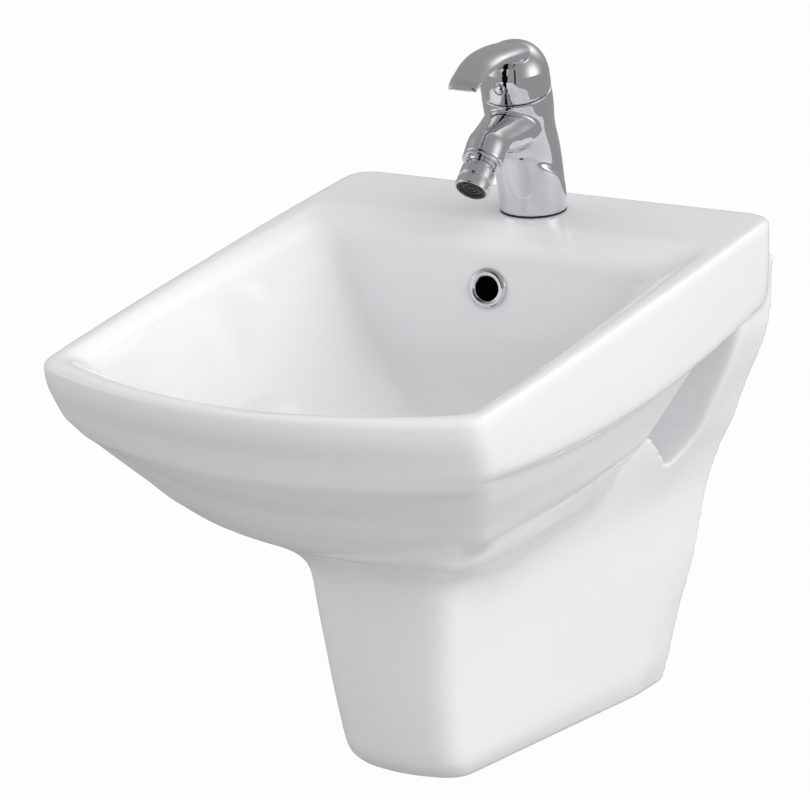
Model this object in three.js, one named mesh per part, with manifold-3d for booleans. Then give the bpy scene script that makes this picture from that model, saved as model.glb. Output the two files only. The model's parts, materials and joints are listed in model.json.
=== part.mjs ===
// Wall hung bidet: a glazed casting with its mixer tap, pop-up waste, trap and wall fixings.
// Millimetres, +Z up, +X to the right of someone facing the wall, the user on the -Y side.
// The origin lies on the wall face, midway between the two fixing studs.
import * as THREE from 'three';
import { mergeVertices } from 'three/addons/utils/BufferGeometryUtils.js';
import Module from 'manifold-3d';

const wasm = await Module();
wasm.setup();

// Driving dimensions of the casting
const WIDTH = 360;
const DEPTH = 526;
const HEIGHT = 390;
const WALL = 10;
const DECK_THICKNESS = 12;
const RIM_FALL = 3;
const DECK_DEPTH = 82;
const SIDE_BOW = 4;
const RIM_CORNER_R = 13;
const RIM_BACK_CORNER_R = 22;
const SHROUD_LIFT = 26;
const SHROUD_CORNER_R = 20;
const SHROUD_FRONT_BOW = 5;
const WING_DEPTH = 44;
const WING_EDGE_R = 9;
const POCKET_REACH = 60;
const POCKET_CORNER_R = 12;

// Fits
const GAP = 0.3;
const RUNNING_GAP = 0.5;
const OVERRUN = 2;

// Wall fixings
const STUD_CENTRES_WIDTH = 180;
const STUD_DROP = 100;
const STUD_R = 6;
const STUD_LENGTH = 74;
const SLEEVE_WALL = 2;
const STUD_WASHER_R = 14;
const STUD_WASHER_THICKNESS = 2.5;
const STUD_NUT_R = 11;
const STUD_NUT_HEIGHT = 10;

// Tap body
const TAP_OFFSET = 51;
const TAP_HOLE_R = 17.5;
const TAP_LEAN = 13;
const FOOT_R = 25.2;
const NECK_R = 23;
const HEAD_R = 26;
const HEAD_REACH = 100;
const SPIGOT_R = 16.5;
const SPIGOT_DEPTH = 4;
const GASKET_THICKNESS = 1;
const SPOUT_REACH = 78.5;
const SPOUT_HEIGHT = 62;
const SPOUT_R = 15;
const WATERWAY_R = 5;

// Cartridge and lever
const CARTRIDGE_R = 17.2;
const CARTRIDGE_DEPTH = 32;
const NUT_R = 20.6;
const NUT_DEPTH = 7;
const LEVER_REACH = 110;
const LEVER_HEIGHT = 38;
const LEVER_LIFT = 18;
const LEVER_HOLLOW_R = 22;
const LEVER_HOLLOW_HEIGHT = 18;
const PIVOT_HEIGHT = 3;
const STEM_SIDE = 7;
const GRUB_R = 2.5;
const GRUB_HEIGHT = 14;
const INDEX_R = 4.5;

// Swivel spray outlet
const NOZZLE_ANGLE = 50;
const BALL_R = 12;
const COLLAR_LIP_R = 11.5;
const COLLAR_START = 4.1;
const COLLAR_THICKNESS = 2.5;
const OUTLET_NECK_R = 9.6;
const AERATOR_R = 12.6;
const AERATOR_START = 12.3;
const AERATOR_LENGTH = 17.5;

// Tap fixing and inlets
const TAP_STUD_R = 4;
const TAP_STUD_SETBACK = 12;
const TAP_STUD_LENGTH = 70;
const PAD_THICKNESS = 2.5;
const PLATE_THICKNESS = 2;
const CLAMP_R = 25;
const INLET_R = 5;
const INLET_CENTRES_WIDTH = 19;

// Bowl openings and waste
const DRAIN_HOLE_R = 23;
const DRAIN_SEAT_R = 33;
const DRAIN_BOSS_R = 37;
const DRAIN_BOSS_HEIGHT = 19;
const OVERFLOW_R = 11;
const DUCT_R = 5.5;
const WASTE_R = 20.8;
const WASTE_BORE_R = 17.5;
const PIPE_R = 16;
const PIPE_WALL = 1.5;

// Pop-up linkage
const ROD_R = 2.5;
const LIFT_TRAVEL = 30;
const LIFT_SETBACK = 14;
const ARM_INNER = 24;
const PIVOT_DEPTH = 72;
const STRAP_WIDTH = 12;
const STRAP_THICKNESS = 1.6;

// Trap
const TRAP_TOP_DEPTH = 115;
const TRAP_OUTLET_DEPTH = 19;
const TRAP_CUP_DEPTH = 80;
const TRAP_HEAD_R = 24;
const CUP_R = 29;

// Roundness of turned pieces
const FINE = 24;
const COARSE = 16;
const HEX = 6;

// Heights below the rim: the drain lies at the bowl's floor, and the waste hangs from the drain
const DRAIN_DROP_SHARE = 0.3359;
const OVERFLOW_DROP_SHARE = 0.0975;
const drainDrop = Math.round(DRAIN_DROP_SHARE * HEIGHT);
const overflowDrop = Math.round(OVERFLOW_DROP_SHARE * HEIGHT);
const drainBossDrop = drainDrop + DRAIN_BOSS_HEIGHT;
const pivotDrop = drainDrop + PIVOT_DEPTH;
const trapTopDrop = drainDrop + TRAP_TOP_DEPTH;
const trapOutletDrop = trapTopDrop + TRAP_OUTLET_DEPTH;
const trapBottomDrop = trapOutletDrop + TRAP_CUP_DEPTH;

const HALF_WIDTH = WIDTH / 2;
const MERGE_DISTANCE = GAP / 1000;
const toRadians = THREE.MathUtils.degToRad;
const toDegrees = THREE.MathUtils.radToDeg;
const lerp = THREE.MathUtils.lerp;

// Closed geometry to solid and back

function signedVolume(position, corners) {
  const [a, b, c] = [new THREE.Vector3(), new THREE.Vector3(), new THREE.Vector3()];
  let volume = 0;
  for (let i = 0; i < corners.length; i += 3) {
    a.fromBufferAttribute(position, corners[i]);
    b.fromBufferAttribute(position, corners[i + 1]);
    c.fromBufferAttribute(position, corners[i + 2]);
    volume += a.dot(b.cross(c));
  }
  return volume;
}

function solid(geometry) {
  const bare = geometry.clone();
  bare.deleteAttribute('normal');
  bare.deleteAttribute('uv');
  const merged = mergeVertices(bare, MERGE_DISTANCE);
  const { position } = merged.attributes;
  const corners = [];
  for (let i = 0; i < merged.index.count; i += 3) {
    const [a, b, c] = [0, 1, 2].map((step) => merged.index.getX(i + step));
    if (a !== b && b !== c && c !== a) corners.push(a, b, c);
  }
  if (signedVolume(position, corners) < 0) corners.reverse();
  const vertProperties = new Float32Array(position.array);
  const triVerts = new Uint32Array(corners);
  return new wasm.Manifold(new wasm.Mesh({ numProp: 3, vertProperties, triVerts }));
}

function geometryOf(body) {
  const { vertProperties, triVerts } = body.getMesh();
  const geometry = new THREE.BufferGeometry();
  geometry.setAttribute('position', new THREE.BufferAttribute(vertProperties, 3));
  geometry.setIndex(new THREE.BufferAttribute(triVerts, 1));
  geometry.computeVertexNormals();
  return geometry;
}

function joined(...geometries) {
  return geometries.map(solid).reduce((whole, next) => whole.add(next));
}

// Basic forms, all along +Z

function turned(profile, segments = COARSE) {
  const points = profile.map(([radius, height]) => new THREE.Vector2(radius, height));
  return new THREE.LatheGeometry(points, segments).rotateX(Math.PI / 2);
}

function cylinder(radius, bottom, top, segments = COARSE) {
  return turned([[0, bottom], [radius, bottom], [radius, top], [0, top]], segments);
}

function tube(outer, inner, bottom, top, segments = COARSE) {
  return turned([[inner, bottom], [outer, bottom], [outer, top], [inner, top], [inner, bottom]], segments);
}

function hexagon(radius, bottom, top) {
  const height = top - bottom;
  const prism = new THREE.CylinderGeometry(radius, radius, height, HEX).rotateX(Math.PI / 2);
  return prism.translate(0, 0, bottom + height / 2);
}

function box(width, depth, bottom, top) {
  return new THREE.BoxGeometry(width, depth, top - bottom).translate(0, 0, (bottom + top) / 2);
}

function alongY(geometry) {
  return geometry.rotateX(-Math.PI / 2);
}

// Prism with a rounded outline in the YZ plane, from one X to another

function sidePrism(points, cornerRadius, fromX, toX) {
  const corners = points.map(([y, z]) => new THREE.Vector2(y, z));
  const shape = new THREE.Shape();
  corners.forEach((corner, i) => {
    const before = corners.at(i - 1).clone().sub(corner);
    const after = corners[(i + 1) % corners.length].clone().sub(corner);
    const radius = Math.min(cornerRadius, before.length() / 2, after.length() / 2);
    const start = corner.clone().add(before.setLength(radius));
    const end = corner.clone().add(after.setLength(radius));
    if (i === 0) shape.moveTo(start.x, start.y);
    else shape.lineTo(start.x, start.y);
    if (radius > 0) shape.quadraticCurveTo(corner.x, corner.y, end.x, end.y);
  });
  shape.closePath();
  const options = { depth: toX - fromX, bevelEnabled: false, curveSegments: 3 };
  const [acrossY, acrossZ, alongX] = [[0, 1, 0], [0, 0, 1], [1, 0, 0]].map((v) => new THREE.Vector3(...v));
  const turn = new THREE.Matrix4().makeBasis(acrossY, acrossZ, alongX);
  return new THREE.ExtrudeGeometry(shape, options).applyMatrix4(turn).translate(fromX, 0, 0);
}

// Skin over a stack of closed rings with the same number of points, capped at both ends

function loft(rings) {
  const count = rings[0].length;
  const points = rings.flat();
  const quads = [];
  for (let level = 0; level + 1 < rings.length; level += 1) {
    for (let i = 0; i < count; i += 1) {
      const a = level * count + i;
      const b = level * count + ((i + 1) % count);
      quads.push(a, b, b + count, a, b + count, a + count);
    }
  }
  const cap = (ring, offset, flip) => {
    const middle = points.length;
    const centre = ring.reduce((sum, point) => sum.add(point), new THREE.Vector3());
    points.push(centre.divideScalar(count));
    for (let i = 0; i < count; i += 1) {
      const [a, b] = [offset + i, offset + ((i + 1) % count)];
      quads.push(middle, flip ? b : a, flip ? a : b);
    }
  };
  cap(rings[0], 0, true);
  cap(rings.at(-1), (rings.length - 1) * count, false);
  const geometry = new THREE.BufferGeometry().setFromPoints(points);
  geometry.setIndex(quads);
  return geometry;
}

function mirrored(half) {
  const left = half.slice(1, -1).reverse().map(([x, y]) => [-x, y]);
  return [...half, ...left];
}

// Corner between two straight or bowed sides as a quadratic curve

function bend(from, corner, to, steps) {
  const curve = new THREE.QuadraticBezierCurve(
    new THREE.Vector2(...from),
    new THREE.Vector2(...corner),
    new THREE.Vector2(...to),
  );
  return curve.getPoints(steps).map((point) => [point.x, point.y]);
}

// Bowl shell: from the underside, up the apron, over the rim and down to the sump.
// Each station is a level: z is a share of HEIGHT below the rim, front, corner and rear are
// shares of DEPTH from the wall, and the halves are shares of the half width.
const BOWL_SHARES = [
  { z: 0.492, front: 0.570, corner: 0.563, rear: 0.420, frontHalf: 0.289, rearHalf: 0.340, apron: 0 },
  { z: 0.462, front: 0.620, corner: 0.612, rear: 0.262, frontHalf: 0.400, rearHalf: 0.520, apron: 0.2 },
  { z: 0.380, front: 0.757, corner: 0.703, rear: 0.262, frontHalf: 0.589, rearHalf: 0.662, apron: 0.3 },
  { z: 0.318, front: 0.821, corner: 0.757, rear: 0.300, frontHalf: 0.690, rearHalf: 0.770, apron: 0.6 },
  { z: 0.285, front: 0.855, corner: 0.785, rear: 0.289, frontHalf: 0.730, rearHalf: 0.800, apron: 1 },
  { z: 0.220, front: 0.912, corner: 0.834, rear: 0.209, frontHalf: 0.826, rearHalf: 0.844, apron: 1 },
  { z: 0.164, front: 0.948, corner: 0.874, rear: 0.133, frontHalf: 0.892, rearHalf: 0.883, apron: 1 },
  { z: 0.159, front: 0.951, corner: 0.876, rear: 0.000, frontHalf: 0.907, rearHalf: 0.950, apron: 1 },
  { z: 0.141, front: 0.957, corner: 0.884, rear: 0.000, frontHalf: 0.924, rearHalf: 0.958, apron: 1 },
  { z: 0.012, front: 0.998, corner: 0.913, rear: 0.000, frontHalf: 0.939, rearHalf: 0.972, apron: 0 },
  { z: 0.003, front: 0.996, corner: 0.911, rear: 0.003, frontHalf: 0.932, rearHalf: 0.965, apron: 0 },
  { z: 0.000, front: 0.989, corner: 0.903, rear: 0.010, frontHalf: 0.908, rearHalf: 0.942, apron: 0 },
  { z: 0.000, front: 0.981, corner: 0.896, rear: 0.156, frontHalf: 0.889, rearHalf: 0.900, apron: 0 },
  { z: 0.006, front: 0.969, corner: 0.884, rear: 0.190, frontHalf: 0.864, rearHalf: 0.860, apron: 0 },
  { z: 0.018, front: 0.956, corner: 0.871, rear: 0.224, frontHalf: 0.828, rearHalf: 0.811, apron: 0 },
  { z: 0.033, front: 0.949, corner: 0.863, rear: 0.236, frontHalf: 0.806, rearHalf: 0.778, apron: 0 },
  { z: 0.067, front: 0.932, corner: 0.844, rear: 0.243, frontHalf: 0.767, rearHalf: 0.739, apron: 0 },
  { z: 0.138, front: 0.890, corner: 0.798, rear: 0.253, frontHalf: 0.672, rearHalf: 0.667, apron: 0 },
  { z: 0.231, front: 0.808, corner: 0.730, rear: 0.274, frontHalf: 0.522, rearHalf: 0.539, apron: 0 },
  { z: 0.287, front: 0.713, corner: 0.656, rear: 0.304, frontHalf: 0.344, rearHalf: 0.367, apron: 0 },
  { z: 0.321, front: 0.589, corner: 0.563, rear: 0.350, frontHalf: 0.189, rearHalf: 0.200, apron: 0 },
  { z: 0.333, front: 0.498, corner: 0.490, rear: 0.373, frontHalf: 0.111, rearHalf: 0.111, apron: 0 },
];
const LIP_INDEX = 15;
const APRON_TOP_INDEX = 9;

// The drain stands behind the middle of the bowl, the overflow square on the back wall at its height
const DRAIN_SHARE = 0.428;
const drainOffset = Math.round(DRAIN_SHARE * DEPTH);
const overflowSetback = bowlRearAt(overflowDrop);
const overflowTilt = toDegrees(Math.atan2(
  2 * OVERFLOW_R,
  bowlRearAt(overflowDrop + OVERFLOW_R) - bowlRearAt(overflowDrop - OVERFLOW_R),
));

function bowlRearAt(drop) {
  const below = BOWL_SHARES.findIndex(({ z }, i) => i > LIP_INDEX && z * HEIGHT > drop);
  const [upper, lower] = [BOWL_SHARES[below - 1], BOWL_SHARES[below]];
  const share = (drop / HEIGHT - upper.z) / (lower.z - upper.z);
  return lerp(upper.rear, lower.rear, share) * DEPTH;
}

// The apron's lower edge dips in the middle of its side and rises to the front
const APRON_WAVE_SHARES = { slope: -0.1636, curve: 0.2297, limit: 0.86 };

function bowlOutline(station, inset = 0) {
  const front = station.front * DEPTH - inset;
  const corner = station.corner * DEPTH - inset;
  const rear = station.rear * DEPTH + inset;
  const frontHalf = station.frontHalf * HALF_WIDTH - inset;
  const rearHalf = station.rearHalf * HALF_WIDTH - inset;
  const length = corner - rear;
  const size = Math.min(1, frontHalf / (HALF_WIDTH / 2), length / (DEPTH / 4));
  const cornerShare = (RIM_CORNER_R * size) / frontHalf;
  const sideShare = (RIM_CORNER_R * size) / length;
  const frontAt = (share) => [frontHalf * share, -(front - (front - corner) * share * share)];
  const sideAt = (share) => {
    const bow = SIDE_BOW * size * 4 * share * (1 - share);
    return [lerp(frontHalf, rearHalf, share) + bow, -lerp(corner, rear, share)];
  };
  const rearRadius = Math.min(RIM_BACK_CORNER_R * size, rearHalf / 2, length / 4);
  const sideStops = [0.2, 0.4, 0.6, 0.8];
  const rearStart = sideAt(1 - rearRadius / length);
  return [
    ...[0, 0.25, 0.5, 0.75].map(frontAt),
    ...bend(frontAt(1 - cornerShare), [frontHalf, -corner], sideAt(sideShare), 4),
    ...sideStops.map((stop) => sideAt(lerp(sideShare, 1 - rearRadius / length, stop))),
    ...bend(rearStart, [rearHalf, -rear], [rearHalf - rearRadius, -rear], 4),
    [rearHalf / 3, -rear],
    [0, -rear],
  ];
}

function apronWave(y) {
  const { slope, curve, limit } = APRON_WAVE_SHARES;
  const share = Math.min(-y / DEPTH, limit);
  return HEIGHT * (slope * share + curve * share * share);
}

function bowlRing(station, inset = 0, rise = 0) {
  return mirrored(bowlOutline(station, inset)).map(([x, y]) => {
    const fall = (RIM_FALL * Math.max(0, -y - DECK_DEPTH)) / (DEPTH - DECK_DEPTH);
    const z = -station.z * HEIGHT + station.apron * apronWave(y) - fall + rise;
    return new THREE.Vector3(x, y, z);
  });
}

// Shroud and back wings: front and corner half are the front face, ridge is the half width
// at the wing's front edge and wall the half width on the wall face. lift tilts the lower
// levels up towards the front.
const SHROUD_SHARES = [
  { z: 1.000, front: 0.505, half: 0.153, ridge: 0.367, wall: 0.378, lift: 1 },
  { z: 0.992, front: 0.539, half: 0.213, ridge: 0.406, wall: 0.411, lift: 1 },
  { z: 0.969, front: 0.563, half: 0.238, ridge: 0.428, wall: 0.428, lift: 0.95 },
  { z: 0.933, front: 0.579, half: 0.254, ridge: 0.450, wall: 0.450, lift: 0.8 },
  { z: 0.849, front: 0.593, half: 0.262, ridge: 0.475, wall: 0.492, lift: 0.5 },
  { z: 0.718, front: 0.608, half: 0.278, ridge: 0.517, wall: 0.573, lift: 0.2 },
  { z: 0.564, front: 0.617, half: 0.311, ridge: 0.567, wall: 0.642, lift: 0 },
  { z: 0.477, front: 0.623, half: 0.327, ridge: 0.645, wall: 0.706, lift: 0 },
  { z: 0.418, front: 0.623, half: 0.333, ridge: 0.714, wall: 0.767, lift: 0 },
  { z: 0.338, front: 0.612, half: 0.333, ridge: 0.798, wall: 0.831, lift: 0 },
  { z: 0.267, front: 0.570, half: 0.333, ridge: 0.864, wall: 0.897, lift: 0 },
  { z: 0.205, front: 0.551, half: 0.333, ridge: 0.908, wall: 0.936, lift: 0 },
  { z: 0.128, front: 0.532, half: 0.333, ridge: 0.930, wall: 0.950, lift: 0 },
  { z: 0.077, front: 0.532, half: 0.333, ridge: 0.941, wall: 0.955, lift: 0 },
];

function shroudOutline(station, inset = 0, wallY = 0) {
  const front = station.front * DEPTH - inset;
  const half = station.half * HALF_WIDTH - inset;
  const ridge = station.ridge * HALF_WIDTH - inset;
  const wall = station.wall * HALF_WIDTH - inset;
  const radius = Math.min(SHROUD_CORNER_R, half * 0.85);
  const cornerY = -(front - SHROUD_FRONT_BOW);
  const side = new THREE.Vector2(ridge - half, -WING_DEPTH - cornerY);
  const along = (distance) => [
    half + (side.x * distance) / side.length(),
    cornerY + (side.y * distance) / side.length(),
  ];
  const edge = side.length() - WING_EDGE_R;
  const back = new THREE.Vector2(wall - ridge, WING_DEPTH).setLength(WING_EDGE_R);
  return [
    [0, -front],
    [(half - radius) / 2, -front + SHROUD_FRONT_BOW / 4],
    ...bend([half - radius, -front + SHROUD_FRONT_BOW / 2], [half, cornerY], along(radius), 5),
    along(lerp(radius, edge, 1 / 3)),
    along(lerp(radius, edge, 2 / 3)),
    ...bend(along(edge), [ridge, -WING_DEPTH], [ridge + back.x, -WING_DEPTH + back.y], 3),
    [wall, wallY],
    [0, wallY],
  ];
}

function shroudRing(station, inset = 0, wallY = 0, drop = 0) {
  return mirrored(shroudOutline(station, inset, wallY)).map(([x, y]) => {
    const lift = (SHROUD_LIFT * station.lift * -y) / (HALF_WIDTH + WING_DEPTH * 3);
    return new THREE.Vector3(x, y, -station.z * HEIGHT + lift - drop);
  });
}

const SHROUD_FOOT_INDEX = 2;
const SHROUD_BACK_INDEX = 6;

// Side pockets between bowl and wings, where the wall nuts are reached: y as a share of the
// way from the nut's seat to the front, z as a share of HEIGHT below the rim
const seatOffset = WING_DEPTH + WALL / 5;
const POCKET_SHARES = [
  [0, 0.08],
  [0.383, 0.08],
  [0.383, 0.246],
  [0.1375, 0.364],
  [0.038, 0.477],
  [0, 0.426],
];

function pockets(margin = 0) {
  const points = POCKET_SHARES.map(([y, z]) => new THREE.Vector2(-lerp(seatOffset, DEPTH, y), -z * HEIGHT));
  const centre = points.reduce((sum, point) => sum.add(point), new THREE.Vector2());
  centre.divideScalar(points.length);
  const grown = points.map((point) => {
    const outward = point.clone().sub(centre);
    const moved = outward.setLength(outward.length() + margin * Math.SQRT2).add(centre);
    return [moved.x, moved.y];
  });
  const reach = POCKET_REACH - margin;
  const right = sidePrism(grown, POCKET_CORNER_R, reach, HALF_WIDTH + margin);
  const left = sidePrism(grown, POCKET_CORNER_R, -HALF_WIDTH - margin, -reach);
  return solid(right).add(solid(left));
}

// The bowl's hollow, grown by a margin, for trimming what lies behind its wall

function bowlHollow(margin) {
  const stations = BOWL_SHARES.slice(LIP_INDEX);
  const rings = stations.map((station) => bowlRing(station, -margin, -margin));
  const top = bowlRing({ ...stations[0], z: 0 }, -margin, OVERRUN + margin);
  return solid(loft([...rings.reverse(), top]));
}

function ceramicCavity() {
  const underside = BOWL_SHARES.slice(1, APRON_TOP_INDEX);
  const bowlRings = underside.map((station) => bowlRing(station, WALL, WALL));
  const deckStation = { ...BOWL_SHARES[APRON_TOP_INDEX], z: DECK_THICKNESS / HEIGHT };
  bowlRings.push(bowlRing(deckStation, WALL).map((point) => point.setZ(-DECK_THICKNESS)));
  const footRing = shroudRing(SHROUD_SHARES[0], WALL / 2, OVERRUN, OVERRUN);
  const openRings = SHROUD_SHARES.slice(SHROUD_FOOT_INDEX, SHROUD_BACK_INDEX + 1)
    .map((station) => shroudRing(station, WALL, OVERRUN));
  const closedRings = SHROUD_SHARES.slice(SHROUD_BACK_INDEX)
    .map((station) => shroudRing(station, WALL, -WALL));
  return solid(loft([footRing, ...openRings]))
    .add(solid(loft(closedRings)))
    .subtract(pockets(WALL))
    .add(solid(loft(bowlRings)))
    .subtract(bowlHollow(WALL));
}

// Overflow passage: a solid rib behind the bowl with a bored channel down to the drain

const DUCT_SETBACK = overflowSetback - WALL - 2 * DUCT_R;
const DUCT_FOOT_DROP = drainBossDrop - DUCT_R - WALL / 3;
const RIB_WIDTH = (OVERFLOW_R + WALL / 2) * 2;

function overflowRib() {
  const behind = DUCT_SETBACK - DUCT_R - WALL / 2;
  const rib = box(RIB_WIDTH, drainOffset - behind, -drainBossDrop, -DECK_THICKNESS);
  rib.translate(0, -(drainOffset + behind) / 2, 0);
  const boss = cylinder(DRAIN_BOSS_R, -drainBossDrop, -drainDrop + WALL, FINE).translate(0, -drainOffset, 0);
  return joined(rib, boss);
}

function overflowChannel() {
  const mouthDepth = overflowSetback - DUCT_SETBACK;
  const mouth = cylinder(OVERFLOW_R, -mouthDepth, WALL, COARSE).rotateX(toRadians(overflowTilt));
  mouth.translate(0, -overflowSetback, -overflowDrop);
  const down = cylinder(DUCT_R, -DUCT_FOOT_DROP - DUCT_R / 2, -overflowDrop, HEX * 2);
  down.translate(0, -DUCT_SETBACK, 0);
  const along = alongY(cylinder(DUCT_R, 0, drainOffset - DUCT_SETBACK, HEX * 2));
  along.translate(0, -drainOffset, -DUCT_FOOT_DROP);
  return joined(mouth, down, along);
}

function studHoles() {
  const hole = (x) => {
    const bore = alongY(cylinder(STUD_R + SLEEVE_WALL + GAP * 2, -seatOffset - OVERRUN, OVERRUN));
    return bore.translate(x, 0, -STUD_DROP);
  };
  return joined(hole(STUD_CENTRES_WIDTH / 2), hole(-STUD_CENTRES_WIDTH / 2));
}

function ceramicBody() {
  const shell = solid(loft(BOWL_SHARES.map((station) => bowlRing(station))));
  const shroud = solid(loft(SHROUD_SHARES.map((station) => shroudRing(station))));
  const tapHole = cylinder(TAP_HOLE_R, -DECK_THICKNESS - OVERRUN, OVERRUN, FINE).translate(0, -TAP_OFFSET, 0);
  const drainHole = cylinder(DRAIN_HOLE_R, -drainBossDrop - OVERRUN, -drainDrop + OVERRUN, FINE);
  const drainSeat = cylinder(DRAIN_SEAT_R, -drainDrop, -drainDrop + WALL * 2, FINE);
  const drain = joined(drainHole, drainSeat).translate([0, -drainOffset, 0]);
  return shroud
    .subtract(pockets())
    .subtract(bowlHollow(WALL / 2))
    .add(shell)
    .subtract(ceramicCavity().subtract(overflowRib()))
    .subtract(drain)
    .subtract(overflowChannel())
    .subtract(joined(tapHole))
    .subtract(studHoles());
}

// Finishes
function finish(color, roughness, metalness) {
  return new THREE.MeshStandardMaterial({ color, roughness, metalness });
}

const GLAZE = finish(0xf4f5f6, 0.08, 0);
const CHROME = finish(0xd8dadd, 0.06, 1);
const BRASS = finish(0xb89a55, 0.35, 1);
const STEEL = finish(0xb4b6b8, 0.3, 1);
const RUBBER = finish(0x26272a, 0.8, 0);
const WHITE_PLASTIC = finish(0xe9e9e6, 0.45, 0);
const DARK_PLASTIC = finish(0x2c2d30, 0.5, 0);

function piece(name, body, material) {
  const geometry = geometryOf(body instanceof THREE.BufferGeometry ? solid(body) : body);
  const mesh = new THREE.Mesh(geometry, material);
  mesh.name = name;
  return mesh;
}

function group(position, tilt, pieces) {
  const holder = new THREE.Group();
  holder.position.set(...position);
  holder.rotation.x = toRadians(tilt);
  holder.add(...pieces);
  return holder;
}

// Overflow ring, seen along the bowl's back wall

function overflowRing() {
  const flangeR = OVERFLOW_R * 1.4;
  const sleeveR = OVERFLOW_R - GAP;
  const boreR = sleeveR - PIPE_WALL;
  const flangeHeight = WALL / 3;
  const profile = [
    [boreR, -WALL / 2],
    [sleeveR - GAP, -WALL / 2],
    [sleeveR - GAP, GAP],
    [flangeR, GAP],
    [flangeR - flangeHeight / 4, flangeHeight * 0.7],
    [(flangeR + boreR) / 2, flangeHeight],
    [boreR, flangeHeight * 0.6],
    [boreR, -WALL / 2],
  ];
  const ring = piece('overflow_ring', turned(profile, FINE), CHROME);
  return group([0, -overflowSetback, -overflowDrop], overflowTilt, [ring]);
}

// Wall fixing at one stud, its axis along Y, its nut in the side pocket

function wallFixing(side, x) {
  const place = (geometry) => alongY(geometry).translate(x, -seatOffset, -STUD_DROP);
  const stud = cylinder(STUD_R, seatOffset - STUD_LENGTH, seatOffset);
  const sleeve = tube(STUD_R + SLEEVE_WALL + GAP, STUD_R + GAP, 0, seatOffset);
  const washer = tube(STUD_WASHER_R, STUD_R + RUNNING_GAP, -STUD_WASHER_THICKNESS, 0);
  const nutTop = -STUD_WASHER_THICKNESS;
  const nut = solid(place(hexagon(STUD_NUT_R, nutTop - STUD_NUT_HEIGHT, nutTop)));
  const nutBore = solid(place(cylinder(STUD_R + GAP, nutTop - STUD_NUT_HEIGHT - OVERRUN, nutTop + OVERRUN)));
  return [
    piece(`${side}_wall_stud`, place(stud), STEEL),
    piece(`${side}_stud_sleeve`, place(sleeve), WHITE_PLASTIC),
    piece(`${side}_stud_washer`, place(washer), STEEL),
    piece(`${side}_stud_nut`, nut.subtract(nutBore), STEEL),
  ];
}

// Tap frames: the tap stands on the deck, its head leans towards the user

const headLean = toRadians(TAP_LEAN);
const headCentre = new THREE.Vector3(0, -Math.sin(headLean) * HEAD_REACH, Math.cos(headLean) * HEAD_REACH);
const headMatrix = new THREE.Matrix4().makeRotationX(headLean).setPosition(headCentre);
const headInverse = headMatrix.clone().invert();
const ballCentre = new THREE.Vector3(0, -SPOUT_REACH, SPOUT_HEIGHT);
const nozzleTurn = 180 - NOZZLE_ANGLE;
const nozzleMatrix = new THREE.Matrix4().makeRotationX(toRadians(nozzleTurn)).setPosition(ballCentre);

function ovalRing(halfWidth, halfDepth, centre, tilt, segments = FINE) {
  const turn = new THREE.Matrix4().makeRotationX(toRadians(tilt));
  return Array.from({ length: segments }, (_, i) => {
    const angle = (i / segments) * Math.PI * 2;
    const point = new THREE.Vector3(Math.cos(angle) * halfWidth, Math.sin(angle) * halfDepth, 0);
    return point.applyMatrix4(turn).add(centre);
  });
}

function circleRing(radius, centre, tilt) {
  return ovalRing(radius, radius, centre, tilt);
}

function tapColumn() {
  const centreAt = (share) => headCentre.clone().multiplyScalar(share);
  const footHeight = new THREE.Vector3(0, 0, HEAD_REACH * 0.06);
  return loft([
    circleRing(FOOT_R, new THREE.Vector3(0, 0, GASKET_THICKNESS), 0),
    circleRing(FOOT_R - GAP, footHeight, 0),
    circleRing(lerp(FOOT_R, NECK_R, 0.4), centreAt(0.3).setY(-TAP_LEAN / 5), TAP_LEAN / 3),
    circleRing(NECK_R, centreAt(0.5).setY(-TAP_LEAN * 0.5), TAP_LEAN * 0.7),
    circleRing(lerp(NECK_R, HEAD_R, 0.5), centreAt(0.72), TAP_LEAN),
    circleRing(HEAD_R, centreAt(0.9), TAP_LEAN),
    circleRing(HEAD_R, headCentre, TAP_LEAN),
  ]);
}

// Spout: a hood as wide as the column at its root, round where it holds the outlet.
// Shares of SPOUT_REACH, SPOUT_HEIGHT, NECK_R and SPOUT_R, and the tilt of each ring.
const SPOUT_SHARES = [
  { reach: 0.18, height: 1.16, half: 1.0, thick: 1.3, tilt: 94 },
  { reach: 0.42, height: 1.17, half: 0.95, thick: 1.2, tilt: 100 },
  { reach: 0.68, height: 1.14, half: 0.78, thick: 1.06, tilt: 110 },
];

function tapSpout() {
  const outward = new THREE.Vector3(0, 0, 1).transformDirection(nozzleMatrix);
  const end = ballCentre.clone().addScaledVector(outward, COLLAR_START - GAP);
  const root = ballCentre.clone().addScaledVector(outward, -BALL_R);
  const hood = SPOUT_SHARES.map(({ reach, height, half, thick, tilt }) => {
    const centre = new THREE.Vector3(0, -SPOUT_REACH * reach, SPOUT_HEIGHT * height);
    return ovalRing(NECK_R * half, SPOUT_R * thick, centre, tilt);
  });
  return loft([...hood, circleRing(SPOUT_R, root, nozzleTurn - HEX), circleRing(SPOUT_R, end, nozzleTurn)]);
}

const inletPlaces = [-INLET_CENTRES_WIDTH / 2, INLET_CENTRES_WIDTH / 2];
const cartridgeFloor = CARTRIDGE_DEPTH + GAP;

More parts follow.
